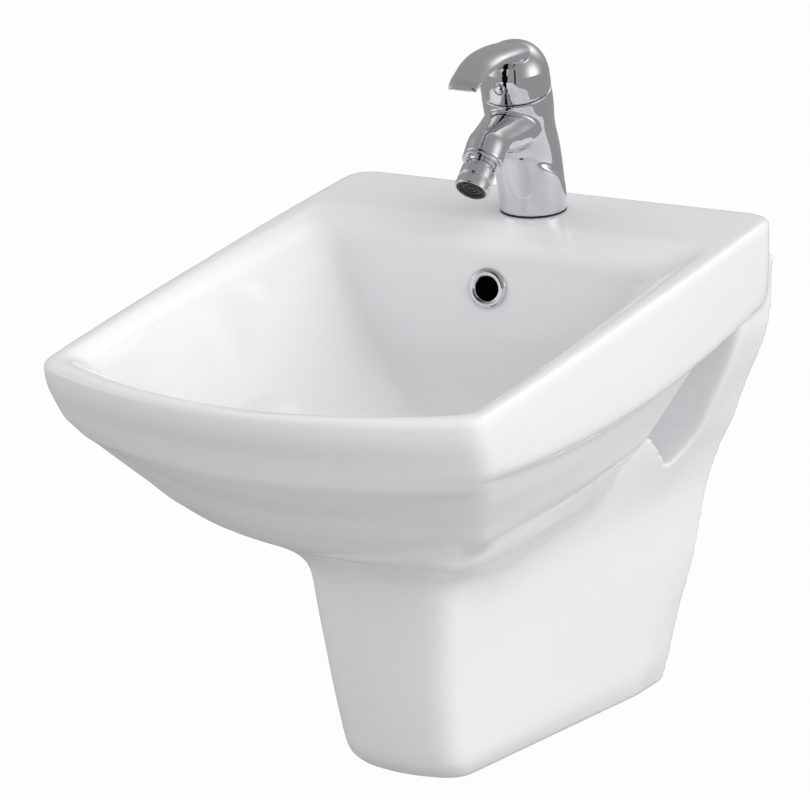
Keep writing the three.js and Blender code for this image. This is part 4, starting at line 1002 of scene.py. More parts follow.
        edge = length - self.wing_radius
        back = np.array([wall - ridge, self.wing_depth])
        back = back / np.linalg.norm(back) * self.wing_radius
        corner = np.array([ridge, -self.wing_depth])
        front_x = (half - radius) * np.arange(self.shroud_front_steps) / self.shroud_front_steps
        front_y = -front + self.shroud_bow / 2 * (front_x / max(half - radius, 1e-6)) ** 2
        front_end = np.array([half - radius, -front + self.shroud_bow / 2])
        steps = self.shroud_side_steps
        half_outline = [
            np.stack([front_x, front_y], 1),
            bend(front_end, start, along(radius), self.shroud_bend_steps),
            np.array([along(radius + (edge - radius) * step / steps) for step in range(1, steps)]),
            bend(along(edge), corner, corner + back, self.wing_bend_steps),
            np.array([[wall, wall_y], [wall / 2, wall_y], [0.0, wall_y]]),
        ]
        outline = mirrored(np.vstack(half_outline))
        rise = self.shroud_lift * lift * -outline[:, 1] / (self.width / 2 + self.wing_depth * 3)
        return np.column_stack([outline, -level * self.height + rise - drop])

    def _shroud_table(self, rows: slice) -> Points:
        """Finer rows of the shroud."""
        half = self.width / 2
        table = np.array(self.shroud_rows[rows], float)
        sizes = [self.height, self.depth, half, half, half, 1.0]
        return through(table, sizes, (), self.shroud_table_steps)

    def _body(self, rings: Sequence[Points]) -> Thing:
        """A loft in place under the rim."""
        return loft(rings).placed(RIM, "casting_work")

    def _pockets(self, margin: float = 0.0) -> list[Thing]:
        """The two side hollows as tools, grown by a margin."""
        points = np.array(
            [
                (-(SEAT_OFFSET + (self.depth - SEAT_OFFSET) * y), -z * self.height)
                for y, z in self.pocket_outline
            ]
        )
        outward = points - points.mean(0)
        away = np.linalg.norm(outward, axis=1, keepdims=True)
        points = points.mean(0) + outward * (away + margin * math.sqrt(2)) / away
        outline = []
        for i, corner in enumerate(points):
            before, after = points[i - 1] - corner, points[(i + 1) % len(points)] - corner
            reach = min(self.pocket_radius, np.linalg.norm(before) / 2, np.linalg.norm(after) / 2)
            start = corner + before / np.linalg.norm(before) * reach
            end = corner + after / np.linalg.norm(after) * reach
            outline.append(bend(start, corner, end, self.pocket_bend_steps))
        outline = np.vstack(outline)
        tools = []
        for sign in (1.0, -1.0):
            rings = [
                np.column_stack([np.full(len(outline), sign * x), outline])
                for x in (self.pocket_reach - margin, self.width / 2 + margin)
            ]
            tools.append(self._body(rings))
        return tools

    def _hollow(self, margin: float) -> Thing:
        """The bowl's inside, grown by a margin."""
        table = self._bowl_table(slice(self.lip_row, None))
        rings = [self._bowl_ring(row, -margin, -margin) for row in table[::-1]]
        top = table[0].copy()
        top[0] = 0.0
        rings.append(self._bowl_ring(top, -margin, OVERRUN + margin))
        return self._body(rings)

    def _duct_offset(self) -> float:
        """How far the overflow's duct stands off the wall."""
        return OVERFLOW_SETBACK - self.wall - 2 * self.duct_radius

    def _rib(self) -> list[Thing]:
        """The solid rib of the overflow passage and the drain boss."""
        behind = self._duct_offset() - self.duct_radius - self.wall / 2
        half = self.overflow_radius + self.wall / 2
        rib = block((-half, -DRAIN_OFFSET, -self.boss_drop), (half, -behind, -self.deck))
        boss = rod(self.boss_radius, -self.boss_drop, -DRAIN_DROP + self.wall)
        return [rib.placed(RIM, "rib"), boss.placed(WASTE, "boss")]

    def _cavity(self) -> Thing:
        """What is empty inside the casting."""
        wall = self.wall
        under = self._bowl_table(slice(1, self.apron_top_row))
        rings = [self._bowl_ring(row, wall, wall) for row in under]
        deck = np.array(self.bowl_rows[self.apron_top_row], float)
        top = self._bowl_ring(deck, wall)
        top[:, 2] = -self.deck
        rings.append(top)
        foot = self._shroud_ring(np.array(self.shroud_rows[0], float), wall / 2, OVERRUN, OVERRUN)
        open_rows = self._shroud_table(slice(self.foot_row, self.back_row + 1))
        closed_rows = self._shroud_table(slice(self.back_row, None))
        cavity = self._body([foot, *(self._shroud_ring(row, wall, OVERRUN) for row in open_rows)])
        worked(cavity, self._body([self._shroud_ring(row, wall, -wall) for row in closed_rows]), Cut.ADD)
        for pocket in self._pockets(wall):
            worked(cavity, pocket, Cut.TAKE)
        worked(cavity, self._body(rings), Cut.ADD)
        worked(cavity, self._hollow(wall), Cut.TAKE)
        for rib in self._rib():
            worked(cavity, rib, Cut.TAKE)
        return cavity

    def _bores(self) -> list[Thing]:
        """Holes for tap, drain, overflow and wall studs."""
        setback = self._duct_offset()
        foot = self.boss_drop - self.duct_radius - self.wall / 3
        drain = rod(self.drain_radius, -self.boss_drop - OVERRUN, -DRAIN_DROP + OVERRUN)
        seat = rod(self.seat_radius, -DRAIN_DROP, -DRAIN_DROP + self.seat_height)
        mouth = rod(self.overflow_radius, setback - OVERFLOW_SETBACK, self.wall)
        down = rod(self.duct_radius, -foot - self.duct_radius / 2, -OVERFLOW_DROP)
        run = rod(self.duct_radius, 0.0, DRAIN_OFFSET - setback)
        tools = [
            rod(self.tap_hole, -self.deck - OVERRUN, OVERRUN).placed(TAP, "tap_hole"),
            drain.placed(WASTE, "drain_hole"),
            seat.placed(WASTE, "drain_seat"),
            mouth.placed(OVERFLOW, "overflow_mouth"),
            down.placed(RIM @ shift(0, -setback, 0), "overflow_duct"),
            run.placed(RIM @ shift(0, -DRAIN_OFFSET, -foot) @ ALONG_Y, "overflow_run"),
        ]
        for side, x in STUD_SIDES:
            bore = rod(self.stud_hole, -SEAT_OFFSET - OVERRUN, OVERRUN)
            tools.append(bore.placed(RIM @ shift(x, 0, -STUD_DROP) @ ALONG_Y, f"{side}_stud_hole"))
        return tools

    def build(self, dresser: Dresser) -> None:
        """Builds the casting and hangs it in place of its node."""
        body = self._body([self._shroud_ring(row) for row in self._shroud_table(slice(None))])
        for pocket in self._pockets():
            worked(body, pocket, Cut.TAKE)
        worked(body, self._hollow(self.wall / 2), Cut.TAKE)
        worked(body, self._body([self._bowl_ring(row) for row in self._bowl_table(slice(None))]), Cut.ADD)
        worked(body, self._cavity(), Cut.TAKE)
        for bore in self._bores():
            worked(body, bore, Cut.TAKE)
        remeshed(body, self.grid)
        Skin(body).soften(self.soft_steps).fill(self.fillets).soften(0, self.evened).store()
        thinned(body, self.faces)
        body.name = "glazed_casting"
        dresser.hang(body, Body.FIXTURE, Slot.GLAZE, "ceramic_body")


# Tap


def oval(half_width: float, half_depth: float, centre: Sequence[float], tilt: float) -> Points:
    """A ring tilted about X."""
    angles = circle(FINE_STEPS)
    flat = np.stack([np.cos(angles) * half_width, np.sin(angles) * half_depth, np.zeros(FINE_STEPS)], 1)
    return flat @ np.array(turn_x(tilt).to_3x3()).T + np.array(centre)


@dataclass
class TapColumn:
    """Foot, leaning column and spout hood of the mixer, bored for its cartridge and ball."""

    # Columns: radius, y, z, tilt
    column_rows: Table = (
        (25.2, 0.0, 1.0, 0.0),
        (24.9, 0.0, 6.0, 0.0),
        (24.32, -2.6, 29.23, 4.33),
        (24.0, -6.5, 48.72, 9.1),
        (24.9, -16.2, 70.15, 13.0),
        (26.0, -20.25, 87.69, 13.0),
        (26.0, -22.5, 97.44, 13.0),
    )
    # Columns: half width, half depth, y, z, tilt; the top edge arches down to the back
    foot_rows: Table = (
        (25.0, 25.0, 0.0, 1.0, 0.0),
        (25.4, 25.4, -0.4, 8.0, 0.0),
        (26.3, 32.1, -4.6, 29.0, -35.0),
        (24.3, 30.1, -4.6, 30.5, -35.0),
    )
    # Columns: half width, half depth, y, z, tilt
    spout_rows: Table = (
        (23.0, 19.5, -14.13, 71.92, 94.0),
        (21.85, 18.0, -32.97, 72.54, 100.0),
        (17.94, 15.9, -53.38, 70.68, 110.0),
        (15.0, 15.0, -69.31, 69.71, 124.0),
        (15.0, 15.0, -81.41, 59.56, 130.0),
    )
    tilt_worth: float = 0.3
    column_steps: int = 6
    spout_steps: int = 8
    grid: float = 0.8
    soft_steps: int = 6
    throat: Zone = Zone((0.0, -TAP_OFFSET * MM - 0.024, 0.155), (0.045, 0.04, 0.035), 60)
    nut_bore: Triple = (20.9, -7.3, 20.0)
    chamber: Triple = (17.5, -32.3, 0.0)
    socket: Triple = (12.5, -12.5, 20.0)
    spigot: Triple = (16.5, -4.0, 3.0)
    lift_bore: Triple = (3.0, -6.0, HEAD_CENTRE[2])

    def _loft(self, rows: Sequence[Sequence[float]], name: str) -> Thing:
        """A loft of tilted ovals in the tap's frame."""
        return loft([oval(w, d, (0, y, z), tilt) for w, d, y, z, tilt in rows]).placed(TAP, name)

    def build(self, dresser: Dresser) -> None:
        """Builds the body and hangs it in place of its node."""
        column_worth, spout_worth = [1, 1, 1, self.tilt_worth], [1, 1, 1, 1, self.tilt_worth]
        column = through(np.array(self.column_rows, float), column_worth, (1,), self.column_steps)
        spout = through(np.array(self.spout_rows, float), spout_worth, (), self.spout_steps)
        body = self._loft([(row[0], *row) for row in column], "tap_column")
        worked(body, self._loft(spout, "tap_hood"), Cut.ADD)
        worked(body, self._loft(self.foot_rows, "tap_foot"), Cut.ADD)
        remeshed(body, self.grid)
        Skin(body).soften(self.soft_steps, [self.throat]).store()
        take(body, rod(*self.nut_bore), HEAD)
        take(body, rod(*self.chamber), HEAD)
        take(body, rod(*self.socket), NOZZLE)
        add(body, rod(*self.spigot), TAP)
        take(body, rod(*self.lift_bore), TAP @ shift(0, TAP_OFFSET - LIFT_OFFSET, 0))
        dresser.hang(body, Body.FIXTURE, Slot.CHROME, "tap_body")


@dataclass
class Lever:
    """Dome over the cartridge with a paddle towards the user."""

    dome: Profile = (
        (0, 0.6), (26, 0.6), (26, 6), (26, 12.16), (24.96, 19.76), (21.84, 27.36), (15.6, 34.2),
        (7.8, 37.24), (0, 38),
    )
    # Columns: reach, half width, top, thickness as shares
    paddle_rows: Table = (
        (0.08, 0.52, 0.82, 0.4),
        (0.23, 0.66, 0.93, 0.4),
        (0.41, 0.66, 1.0, 0.3),
        (0.59, 0.61, 1.02, 0.22),
        (0.75, 0.55, 0.97, 0.17),
        (0.88, 0.5, 0.85, 0.15),
        (0.96, 0.48, 0.74, 0.13),
        (1.0, 0.44, 0.64, 0.1),
    )
    radius: float = 26.0
    reach: float = 110.0
    height: float = 38.0
    lift: float = 19.0
    side_power: float = 0.6
    top_power: float = 0.75
    crown_share: float = 0.04
    steps: int = 48
    row_steps: int = 5
    dome_steps: int = 6
    front_offset: float = 28.0
    gap: float = 0.6
    grid: float = 0.7
    soft_steps: int = 5
    hollow: Triple = (22.0, -2.0, 18.0)
    screw_hole: Triple = (2.8, 0.0, 28.0)
    plug_hole: Triple = (4.8, 0.0, 6.5)
    boss: tuple[Triple, Triple] = ((-7, -7, 9), (7, 7, 19))
    stem_hole: tuple[Triple, Triple] = ((-3.8, -3.8, -2), (3.8, 3.8, 18))

    def _dome_profile(self) -> Profile:
        """The dome's outline, rounded between its points."""
        table = np.array(self.dome[2:], float)
        fine = through(table, [1, 1], (), self.dome_steps)
        return [tuple(point) for point in np.vstack([np.array(self.dome[:2], float), fine])]

    def _paddle(self) -> Shell:
        """The paddle in the tap's frame."""
        angles = circle(self.steps)
        x, y = np.cos(angles), np.sin(angles)
        sizes = [self.reach, self.radius, self.height, self.height]
        rings = []
        for reach, half, top, thick in through(np.array(self.paddle_rows, float), sizes, (), self.row_steps):
            depth = thick * self.height
            middle = HEAD_CENTRE[2] + top * self.height - depth / 2
            across = np.sign(x) * np.abs(x) ** self.side_power * half * self.radius
            crown = (1 - x * x) * self.height * self.crown_share
            up = np.sign(y) * np.abs(y) ** self.top_power * depth / 2 + crown
            rings.append(np.column_stack([across, np.full(self.steps, -self.reach * reach), middle + up]))
        return loft(rings)

    def build(self, dresser: Dresser) -> None:
        """Builds the lever and hangs it in place of its node."""
        body = lathe(self._dome_profile()).placed(HEAD, "lever_dome")
        add(body, self._paddle(), TAP)
        remeshed(body, self.grid)
        Skin(body).soften(self.soft_steps).store()
        slope = math.tan(math.radians(self.lift))
        far = self.radius * 2
        relief = np.array([(0, -far), (far, -far), (far, far * slope + self.gap), (0, self.gap)])
        sides = [np.column_stack([np.full(4, x), relief]) for x in (-far, far)]
        front = screw_axis(-self.front_offset)
        take(body, rod(*self.hollow), HEAD)
        take(body, loft(sides), HEAD)
        take(body, rod(*self.plug_hole), front)
        boss = block(*self.boss).placed(HEAD, "boss")
        take(boss, block(*self.stem_hole), HEAD)
        worked(body, boss, Cut.ADD)
        take(body, rod(*self.screw_hole), front)
        body.name = "tap_lever"
        dresser.hang(body, Body.LEVER, Slot.CHROME, "lever_handle")


# Turned pieces


@dataclass(frozen=True)
class Turned:
    """A piece turned on a lathe: the node it stands for, its place and its outline."""

    node: str
    place: Matrix
    profile: Profile
    slot: Slot
    body: Body = Body.FIXTURE
    edge: float = 0.25

    def build(self, dresser: Dresser) -> None:
        """Turns the piece and hangs it in place of its node."""
        made = lathe(self.profile).placed(self.place, f"{self.node}_turned")
        rounded(made, self.edge)
        dresser.hang(made, self.body, self.slot, self.node)


def tube(outer: float, inner: float, bottom: float, top: float) -> Profile:
    """Outline of a plain tube."""
    return ((inner, bottom), (outer, bottom), (outer, top), (inner, top), (inner, bottom))


def turned_pieces() -> list[Turned]:
    """Every turned piece, with its outline in its own frame."""
    chrome, brass, steel = Slot.CHROME, Slot.BRASS, Slot.STEEL
    rubber, white, dark = Slot.RUBBER, Slot.WHITE_PLASTIC, Slot.DARK_PLASTIC
    grub, plug = screw_axis(-16.8), screw_axis(-26.3)
    clamp, clevis = TAP @ shift(0, -CLAMP_OFFSET, 0), LIFT @ shift(0, 0, -CLEVIS_DROP) @ ALONG_Y
    pieces = [
        Turned("overflow_ring", OVERFLOW, (
            (9.2, -5), (10.4, -5), (10.4, 0.3), (15.4, 0.3), (14.9, 1.5), (13.9, 2.7), (12.3, 3.2),
            (10.6, 2.9), (9.5, 2.2), (9.2, 1.2), (9.2, -5),
        ), chrome),
        Turned("tap_base_gasket", TAP, tube(24.9, 16.8, 0, 1), rubber),
        Turned("tap_stud", clamp, solid(4, -62, 8), steel),
        *(
            Turned(f"{name}_inlet_nipple", TAP @ shift(x, 0, 0), tube(5, 2.5, -26.5, 10), brass)
            for name, x in (("cold", 9.5), ("hot", -9.5))
        ),
        Turned("cartridge_body", HEAD, (
            (0, -32), (17.2, -32), (17.2, -7.3), (10.32, -7.3), (10.32, -2.333), (0, -2.333)), white),
        Turned("cartridge_nut", HEAD, (
            (11.008, -7), (20.6, -7), (20.6, 0), (19.1, 3), (11.008, 3), (11.008, -7)), brass),
        Turned("lever_screw", grub, solid(2.5, 0, 13), steel, Body.LEVER),
        Turned("index_plug", plug, (
            (0, 0), (2.4, 0.1), (3.9, 0.6), (4.5, 1.4), (4.5, 4.5), (0, 4.5)), chrome, Body.LEVER, edge=0.15),
        Turned("nozzle_collar", NOZZLE, (
            (13, 4.1), (15, 4.1), (15, 6), (14.4, 6.6), (11.5, 6.6), (11.5, 5.1), (13, 4.1)), chrome),
        Turned("nozzle_seat_ring", NOZZLE, tube(12, 7.68, -11.28, -9.6), white, Body.SWIVEL),
        Turned("nozzle_ball", NOZZLE, ball_profile(), chrome, Body.NOZZLE),
        Turned("aerator_housing", NOZZLE, (
            (9.9, 12.3), (12, 12.3), (12.6, 12.9), (12.6, 19.6), (12.2, 20.3), (11.4, 20.7), (11.4, 21.4),
            (12.2, 21.8), (12.6, 22.5), (12.6, 28.6), (12.2, 29.5), (11.7, 29.8), (11.1, 29.5), (11.1, 14.1),
            (9.9, 14.1), (9.9, 12.3)), chrome, Body.NOZZLE),
        Turned("aerator_washer", NOZZLE, tube(10.8, 5, 14.4, 15.9), rubber, Body.NOZZLE),
        Turned("aerator_insert", NOZZLE, (
            (0, 16.2), (10.8, 16.2), (10.8, 28.9), (9.4, 28.9), (9.0, 27.6), (7.2, 27.4), (7.0, 28.3),
            (5.6, 28.3), (5.4, 27.4), (3.6, 27.4), (3.4, 28.3), (2.0, 28.3), (1.8, 27.6), (0, 27.6),
        ), dark, Body.NOZZLE, edge=0.1),
        Turned("lift_rod", LIFT, solid(2.5, -110, 80), chrome, Body.LIFT),
        Turned("lift_knob", LIFT, (
            (0, 80), (3.675, 80), (5.25, 82.5), (5.25, 87.5), (4.6, 89.2), (3.15, 90), (0, 90),
        ), chrome, Body.LIFT),
        Turned("clevis_screw", clevis, (
            (0, 3.1), (2, 3.1), (2, 5), (4, 5), (4, 8.2), (3.6, 9), (0, 9)), brass, Body.LIFT),
        Turned("waste_top_seal", WASTE, tube(30, 21.1, -131, -130.1), rubber),
        Turned("waste_flange", WASTE, (
            (17.5, -175.6), (20.8, -175.6), (20.8, -130.1), (31.5, -130.1), (31.5, -128.3), (28, -128.05),
            (21.5, -128), (19.6, -128.8), (18.2, -130), (17.5, -131.5), (17.5, -175.6)), chrome),
        Turned("waste_bottom_seal", WASTE, tube(29.12, 21.1, -153, -150), rubber),
        Turned("pivot_nut", PIVOT, (
            (8.8, 19), (11.8, 19), (11.8, 30.8), (4.75, 30.8), (4.75, 29.3), (8.8, 29.3), (8.8, 19)), chrome),
        Turned("trap_inlet_nut", WASTE, (
            (18.1, -245.7), (24, -245.7), (24, -230), (16.3, -230), (16.3, -233), (18.1, -233),
            (18.1, -245.7),
        ), chrome),
        Turned("trap_cup", WASTE, (
            (0, -345), (23.2, -345), (26.5, -343.6), (28.6, -340.4), (29, -337), (29, -284.8), (24.3, -284.8),
            (24.3, -294.3), (26, -294.3), (26, -337), (20.3, -342), (0, -342)), chrome),
        Turned("trap_outlet_nut", ARM, (
            (18.1, 30.4), (20.8, 30.4), (20.8, 43), (16.3, 43), (16.3, 40.3), (18.1, 40.3), (18.1, 30.4),
        ), chrome),
        Turned("trap_outlet_pipe", ARM, tube(16, 14.5, 32, DRAIN_OFFSET), chrome),
    ]
    for side, x in STUD_SIDES:
        seat = stud_seat(x)
        pieces += [
            Turned(f"{side}_wall_stud", seat, solid(6, -28, SEAT_OFFSET), steel, edge=0.8),
            Turned(f"{side}_stud_sleeve", seat, tube(8.3, 6.3, 0, SEAT_OFFSET), white),
            Turned(f"{side}_stud_washer", seat, tube(14, 6.5, -2.5, 0), steel),
        ]
    return pieces


def ball_profile() -> Profile:
    """The swivel ball with its neck."""
    radius = 12.0
    start, end = math.asin(-0.8), math.acos(9.6 / radius)
    arc = [(math.cos(a) * radius, math.sin(a) * radius) for a in np.linspace(start, end, 24)]
    return ((5.0, -9.6), *arc, (9.6, 13.8), (5.0, 13.8), (5.0, -9.6))


# Nuts and worked pieces


@dataclass(frozen=True)
class HexNut:
    """A hexagon nut with chamfered corners."""

    node: str
    place: Matrix
    radius: float
    bore: float
    bottom: float
    top: float
    slot: Slot

    def build(self, dresser: Dresser) -> None:
        """Mills the nut and hangs it in place of its node."""
        height = self.top - self.bottom
        angles = circle(6)
        outline = np.stack([np.sin(angles) * self.radius, -np.cos(angles) * self.radius], 1)
        rings = [np.column_stack([outline, np.full(6, z)]) for z in (self.bottom, self.top)]
        made = loft(rings).placed(self.place, f"{self.node}_milled")
        flat = self.radius * math.cos(math.pi / 6)
        chamfer = (self.radius - flat) * 0.6
        outer = self.radius * 1.5
        for edge, sign in ((self.bottom, 1.0), (self.top, -1.0)):
            outside, rise = edge - sign, sign * (chamfer + outer - self.radius)
            ring = (
                (flat, outside), (outer, outside), (outer, edge + rise), (flat, edge), (flat, outside),
            )
            take(made, lathe(ring), self.place)
        take(made, rod(self.bore, self.bottom - height, self.top + height), self.place)
        rounded(made, BODY_EDGE)
        dresser.hang(made, Body.FIXTURE, self.slot, self.node)


def nuts() -> list[HexNut]:
    """Every hexagon nut."""
    made = [
        HexNut("tap_clamp_nut", TAP @ shift(0, -CLAMP_OFFSET, 0), 6.8, 4.3, -24.5, -16.5, Slot.BRASS),
        HexNut("waste_back_nut", WASTE, 31.2, 21.1, -163.4, -153, Slot.BRASS),
    ]
    for side, x in STUD_SIDES:
        made.append(HexNut(f"{side}_stud_nut", stud_seat(x), 11.0, 6.3, -12.5, -2.5, Slot.STEEL))
    return made


@dataclass
class Worked:
    """The pieces that are turned and then joined or cut: waste body, plug, pivot rod and trap body."""

    tail: Profile = (
        (14.5, -254), (16, -254), (16, -180.1), (20.8, -178.6), (23.8, -177.1), (23.8, -164), (21.1, -164),
        (21.1, -177.1), (14.5, -178.6), (14.5, -254),
    )
    plug: Profile = (
        (0, -213), (5, -213), (5, -193), (3.5, -189), (3.5, -123.31), (24.96, -123.31), (24.96, -121.81),
        (23, -120.6), (14.976, -119.71), (6, -118.95), (0, -118.81),
    )
    trap: Profile = (
        (11.3, -329), (12.8, -329), (12.8, -258.8), (22.5, -257.2), (22.5, -292.8), (24, -292.8), (24, -254),
        (17.8, -254), (17.8, -240), (16.3, -240), (16.3, -254.8), (11.3, -255.6), (11.3, -329),
    )

    port: Triple = (8.5, 14.5, 29.0)
    port_bore: Triple = (5.5, 0.0, 31.0)
    eye: tuple[Triple, Triple] = ((-2.95, -20, -4), (2.95, 20, 4))
    arm: Triple = (17.8, 22.5, 40.0)
    arm_bore: Triple = (16.3, 18.0, 42.0)
    pivot_ball: float = 5.0
    pivot_centre: float = 24.0

    def _pivot(self) -> Profile:
        """The pivot rod with its ball between two necks."""
        arc = [
            (math.cos(a) * self.pivot_ball, self.pivot_centre + math.sin(a) * self.pivot_ball)
            for a in np.linspace(-1.0, 1.0, 13)
        ]
        return ((0, -2.5), (2.5, -2.5), (2.5, 19.67), *arc, (2.5, 28.33), (2.5, 198), (0, 198))

    def build(self, dresser: Dresser) -> None:
        """Builds the four pieces and hangs them in place of their nodes."""
        tail = lathe(self.tail).placed(WASTE, "waste_body_turned")
        add(tail, rod(*self.port), PIVOT)
        take(tail, rod(*self.port_bore), PIVOT)
        plug = lathe(self.plug).placed(WASTE, "waste_plug_turned")
        take(plug, block(*self.eye), WASTE @ shift(0, 0, -PIVOT_DROP))
        pivot = lathe(self._pivot()).placed(PIVOT, "pivot_rod_turned")
        trap = lathe(self.trap).placed(WASTE, "trap_body_turned")
        add(trap, rod(*self.arm), ARM)
        take(trap, rod(*self.arm_bore), ARM)
        for made, body, slot, node in (
            (tail, Body.FIXTURE, Slot.CHROME, "waste_body"),
            (plug, Body.PLUG, Slot.CHROME, "waste_plug"),
            (pivot, Body.PIVOT, Slot.STEEL, "pivot_rod"),
            (trap, Body.FIXTURE, Slot.CHROME, "trap_body"),
        ):
            rounded(made, BODY_EDGE, BODY_ANGLE, BODY_SEGMENTS)
            dresser.hang(made, body, slot, node)


KEPT_NODES: dict[str, Slot] = {
    "tap_clamp_pad": Slot.RUBBER,
    "tap_clamp_plate": Slot.STEEL,
    "cartridge_carrier": Slot.DARK_PLASTIC,
    "cartridge_stem": Slot.STEEL,
    "clevis_strap": Slot.STEEL,
}


# Studio

TAP_MIDDLE = (0.0, -0.07, 0.15)
WHITE = (1.0, 1.0, 1.0, 1.0)
CAMERA_REACH = (0.1, 50.0)


@dataclass(frozen=True)
class Glow:
    """A broad soft light of the studio: where it comes from, how narrow it is and how strong."""

    towards: Triple
    narrow: float
    strength: float


@dataclass(frozen=True)
class Card:
    """A grey or black card that only shows in polished metal and glaze, with its size in metres."""

    name: str
    place: Triple
    aim: Triple
    size: tuple[float, float]
    grey: float

    def build(self) -> None:
        """Sets the card up, facing what it aims at."""
        x, y = self.size[0] / 2, self.size[1] / 2
        mesh = bpy.data.meshes.new(self.name)
        mesh.from_pydata([(-x, -y, 0), (x, -y, 0), (x, y, 0), (-x, y, 0)], [], [(0, 1, 2, 3)])
        made = linked(self.name, mesh)
        turn = (Vector(self.aim) - Vector(self.place)).to_track_quat("Z", "Y").to_matrix().to_4x4()
        made.matrix_world = Matrix.Translation(self.place) @ turn
        material, graph = fresh_material(self.name)
        graph.finish(graph.shining(self.grey))
        mesh.materials.append(material)
        made.visible_camera = False
        made.visible_diffuse = False
        made.visible_shadow = False
        made.visible_transmission = False


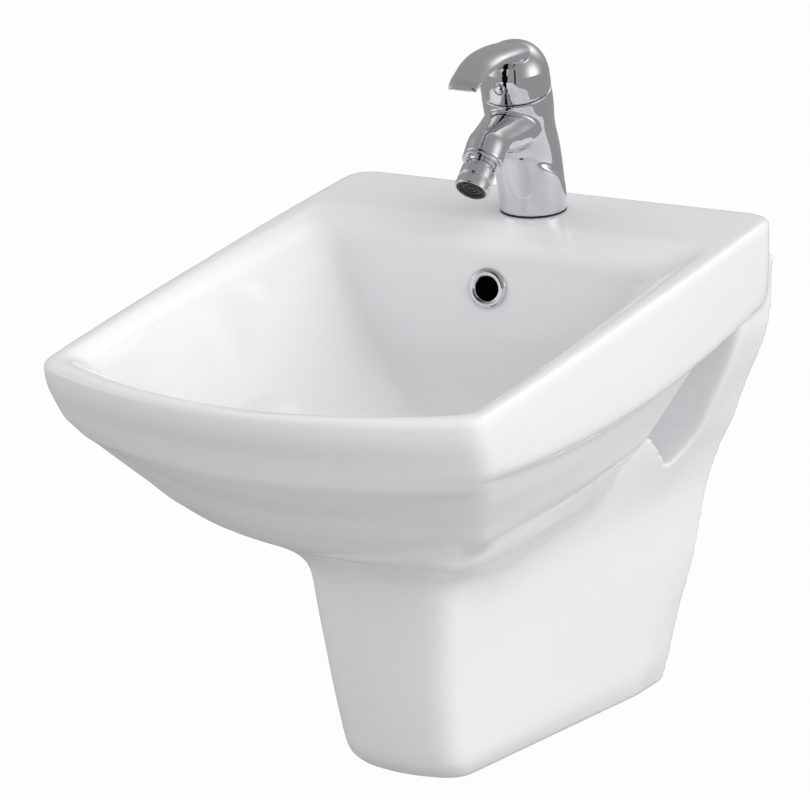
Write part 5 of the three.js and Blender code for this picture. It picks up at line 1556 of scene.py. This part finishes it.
@dataclass
class Studio:
    """Camera, soft light and pale floor."""

    ambient: float = 0.02
    glows: Sequence[Glow] = (
        Glow((1.0, 0.0, 0.0), 1.0, 2.12),
        Glow((-1.0, 0.0, 0.0), 1.0, 1.45),
        Glow((0.7, -0.7, 0.0), 3.0, 0.25),
        Glow((0.0, 0.8, 0.6), 1.0, 0.32),
    )
    mirrored_grey: float = 0.36
    mirrored_floor: float = 0.36
    strips: Sequence[Glow] = (
        Glow((1.0, 0.07, 0.1), 14.0, 1.3),
        Glow((-0.93, -0.37, 0.1), 14.0, 1.1),
        Glow((0.2, 0.9, 0.7), 20.0, 1.0),
    )
    cards: Sequence[Card] = (
        Card("upper_card", (-0.5, -1.2, 2.4), TAP_MIDDLE, (3.2, 2.0), 0.33),
        Card("front_card", (-0.08, -1.2, 0.45), TAP_MIDDLE, (0.40, 1.4), 0.003),
        Card("low_card", (-0.02, -0.34, 0.128), (-0.02, -0.34, 1.0), (0.055, 0.30), 0.003),
        Card("side_card", (0.62, -1.2, 0.3), TAP_MIDDLE, (0.12, 1.0), 0.02),
    )
    focal_pixels: float = 4707.0
    picture_width: float = 810.0
    azimuth: float = 28.01
    elevation: float = 19.30
    roll: float = 2.24
    distance: float = 3385.0
    aim: Triple = (0.0, -250.0, -50.0)
    offset: tuple[float, float] = (-7.6, 61.3)
    floor_drop: float = 0.300
    floor_radius: float = 9.0
    floor_white: float = 0.97
    floor_steps: int = 96
    floor_waves: float = 1.5
    floor_tones: tuple[float, float] = (0.54, 0.56)
    sensor: float = 36.0

    def camera(self) -> None:
        """Sets the camera at the photograph's angle."""
        a, e, roll = (math.radians(angle) for angle in (self.azimuth, self.elevation, self.roll))
        back = Vector((math.sin(a) * math.cos(e), -math.cos(a) * math.cos(e), math.sin(e)))
        right = Vector((math.cos(a), math.sin(a), 0.0))
        up = Vector((-math.sin(a) * math.sin(e), math.cos(a) * math.sin(e), math.cos(e)))
        place = Vector(self.aim) + back * self.distance + right * self.offset[0] + up * self.offset[1]
        across = right * math.cos(roll) - up * math.sin(roll)
        upward = right * math.sin(roll) + up * math.cos(roll)
        turn = Matrix((across, upward, back)).transposed()
        data = bpy.data.cameras.new("photo_camera")
        data.sensor_fit = "HORIZONTAL"
        data.sensor_width = self.sensor
        data.lens = self.sensor * self.focal_pixels / self.picture_width
        data.clip_start, data.clip_end = CAMERA_REACH
        made = linked("photo_camera", data)
        made.matrix_world = Matrix.Translation(place * MM) @ turn.to_4x4()
        bpy.context.scene.camera = made

    @staticmethod
    def _glow(graph: Graph, base: float, lights: Sequence[Glow]) -> Value | float:
        """Strength of several soft lights over an even one."""
        way = graph.node("TexCoord")[0]
        glow: Value | float = base
        for soft in lights:
            towards = Vector(soft.towards).normalized()
            product = graph.node("VectorMath", {"operation": "DOT_PRODUCT"}, {0: way, 1: towards})
            glow = soft.strength * Value(graph, product[1]).larger(0.0) ** soft.narrow + glow
        return glow

    def world(self) -> None:
        """White to the camera, broad soft glows as light, greys with white strips in reflections."""
        made = bpy.data.worlds.new("studio")
        bpy.context.scene.world = made
        made.use_nodes = True
        graph = Graph(made.node_tree)
        seen, mirrored_ray = graph.seen()
        glow = self._glow(graph, self.ambient, self.glows)
        mirror = self._glow(graph, self.mirrored_grey, self.strips)
        strength = glow + mirrored_ray * (mirror - glow)
        light = graph.node("Background", None, {"Color": WHITE, "Strength": strength})[0]
        white = graph.node("Background", None, {"Color": WHITE, "Strength": 1.0})[0]
        graph.finish(graph.node("MixShader", None, {0: seen, 1: light, 2: white})[0])

    def floor(self) -> None:
        """A round pale floor, nearly white in the picture, with the object's soft shadow."""
        angles = circle(self.floor_steps)
        rim = np.stack([np.cos(angles), np.sin(angles), np.zeros(self.floor_steps)], 1) * self.floor_radius
        rim[:, 2] = -self.floor_drop
        mesh = bpy.data.meshes.new("studio_floor")
        mesh.from_pydata(rim.tolist(), [], [tuple(range(self.floor_steps))])
        material, graph = fresh_material("studio_floor")
        seen, mirrored_ray = graph.seen()
        dark, light = ((tone, tone, tone) for tone in self.floor_tones)
        tone = graph.blend(graph.noise(self.floor_waves), dark, light)
        paint = graph.node("BsdfDiffuse", None, {"Color": tone})[0]
        lit = graph.node("MixShader", None, {0: self.floor_white * seen, 1: paint, 2: graph.shining(1.0)})[0]
        mirror = graph.shining(self.mirrored_floor)
        graph.finish(graph.node("MixShader", None, {0: mirrored_ray, 1: lit, 2: mirror})[0])
        mesh.materials.append(material)
        linked("studio_floor", mesh)

    def build(self) -> None:
        """Sets up the whole studio."""
        self.camera()
        for card in self.cards:
            card.build()
        self.world()
        self.floor()
        bpy.context.scene.view_settings.view_transform = "Standard"


def main() -> None:
    """Builds every sub-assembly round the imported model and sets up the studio."""
    logging.basicConfig(level=logging.INFO, format="%(message)s")
    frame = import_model()
    dresser = Dresser(frame)
    parts: list[Casting | TapColumn | Lever | Turned | HexNut | Worked] = [
        Casting(), TapColumn(), Lever(), Worked(), *turned_pieces(), *nuts()
    ]
    for part in parts:
        part.build(dresser)
    for node, slot in KEPT_NODES.items():
        dresser.keep(node, slot)
    Studio().build()
    LOG.info("%d pieces and %d kept nodes", dresser.count, len(KEPT_NODES))


if __name__ == "__main__":
    main()
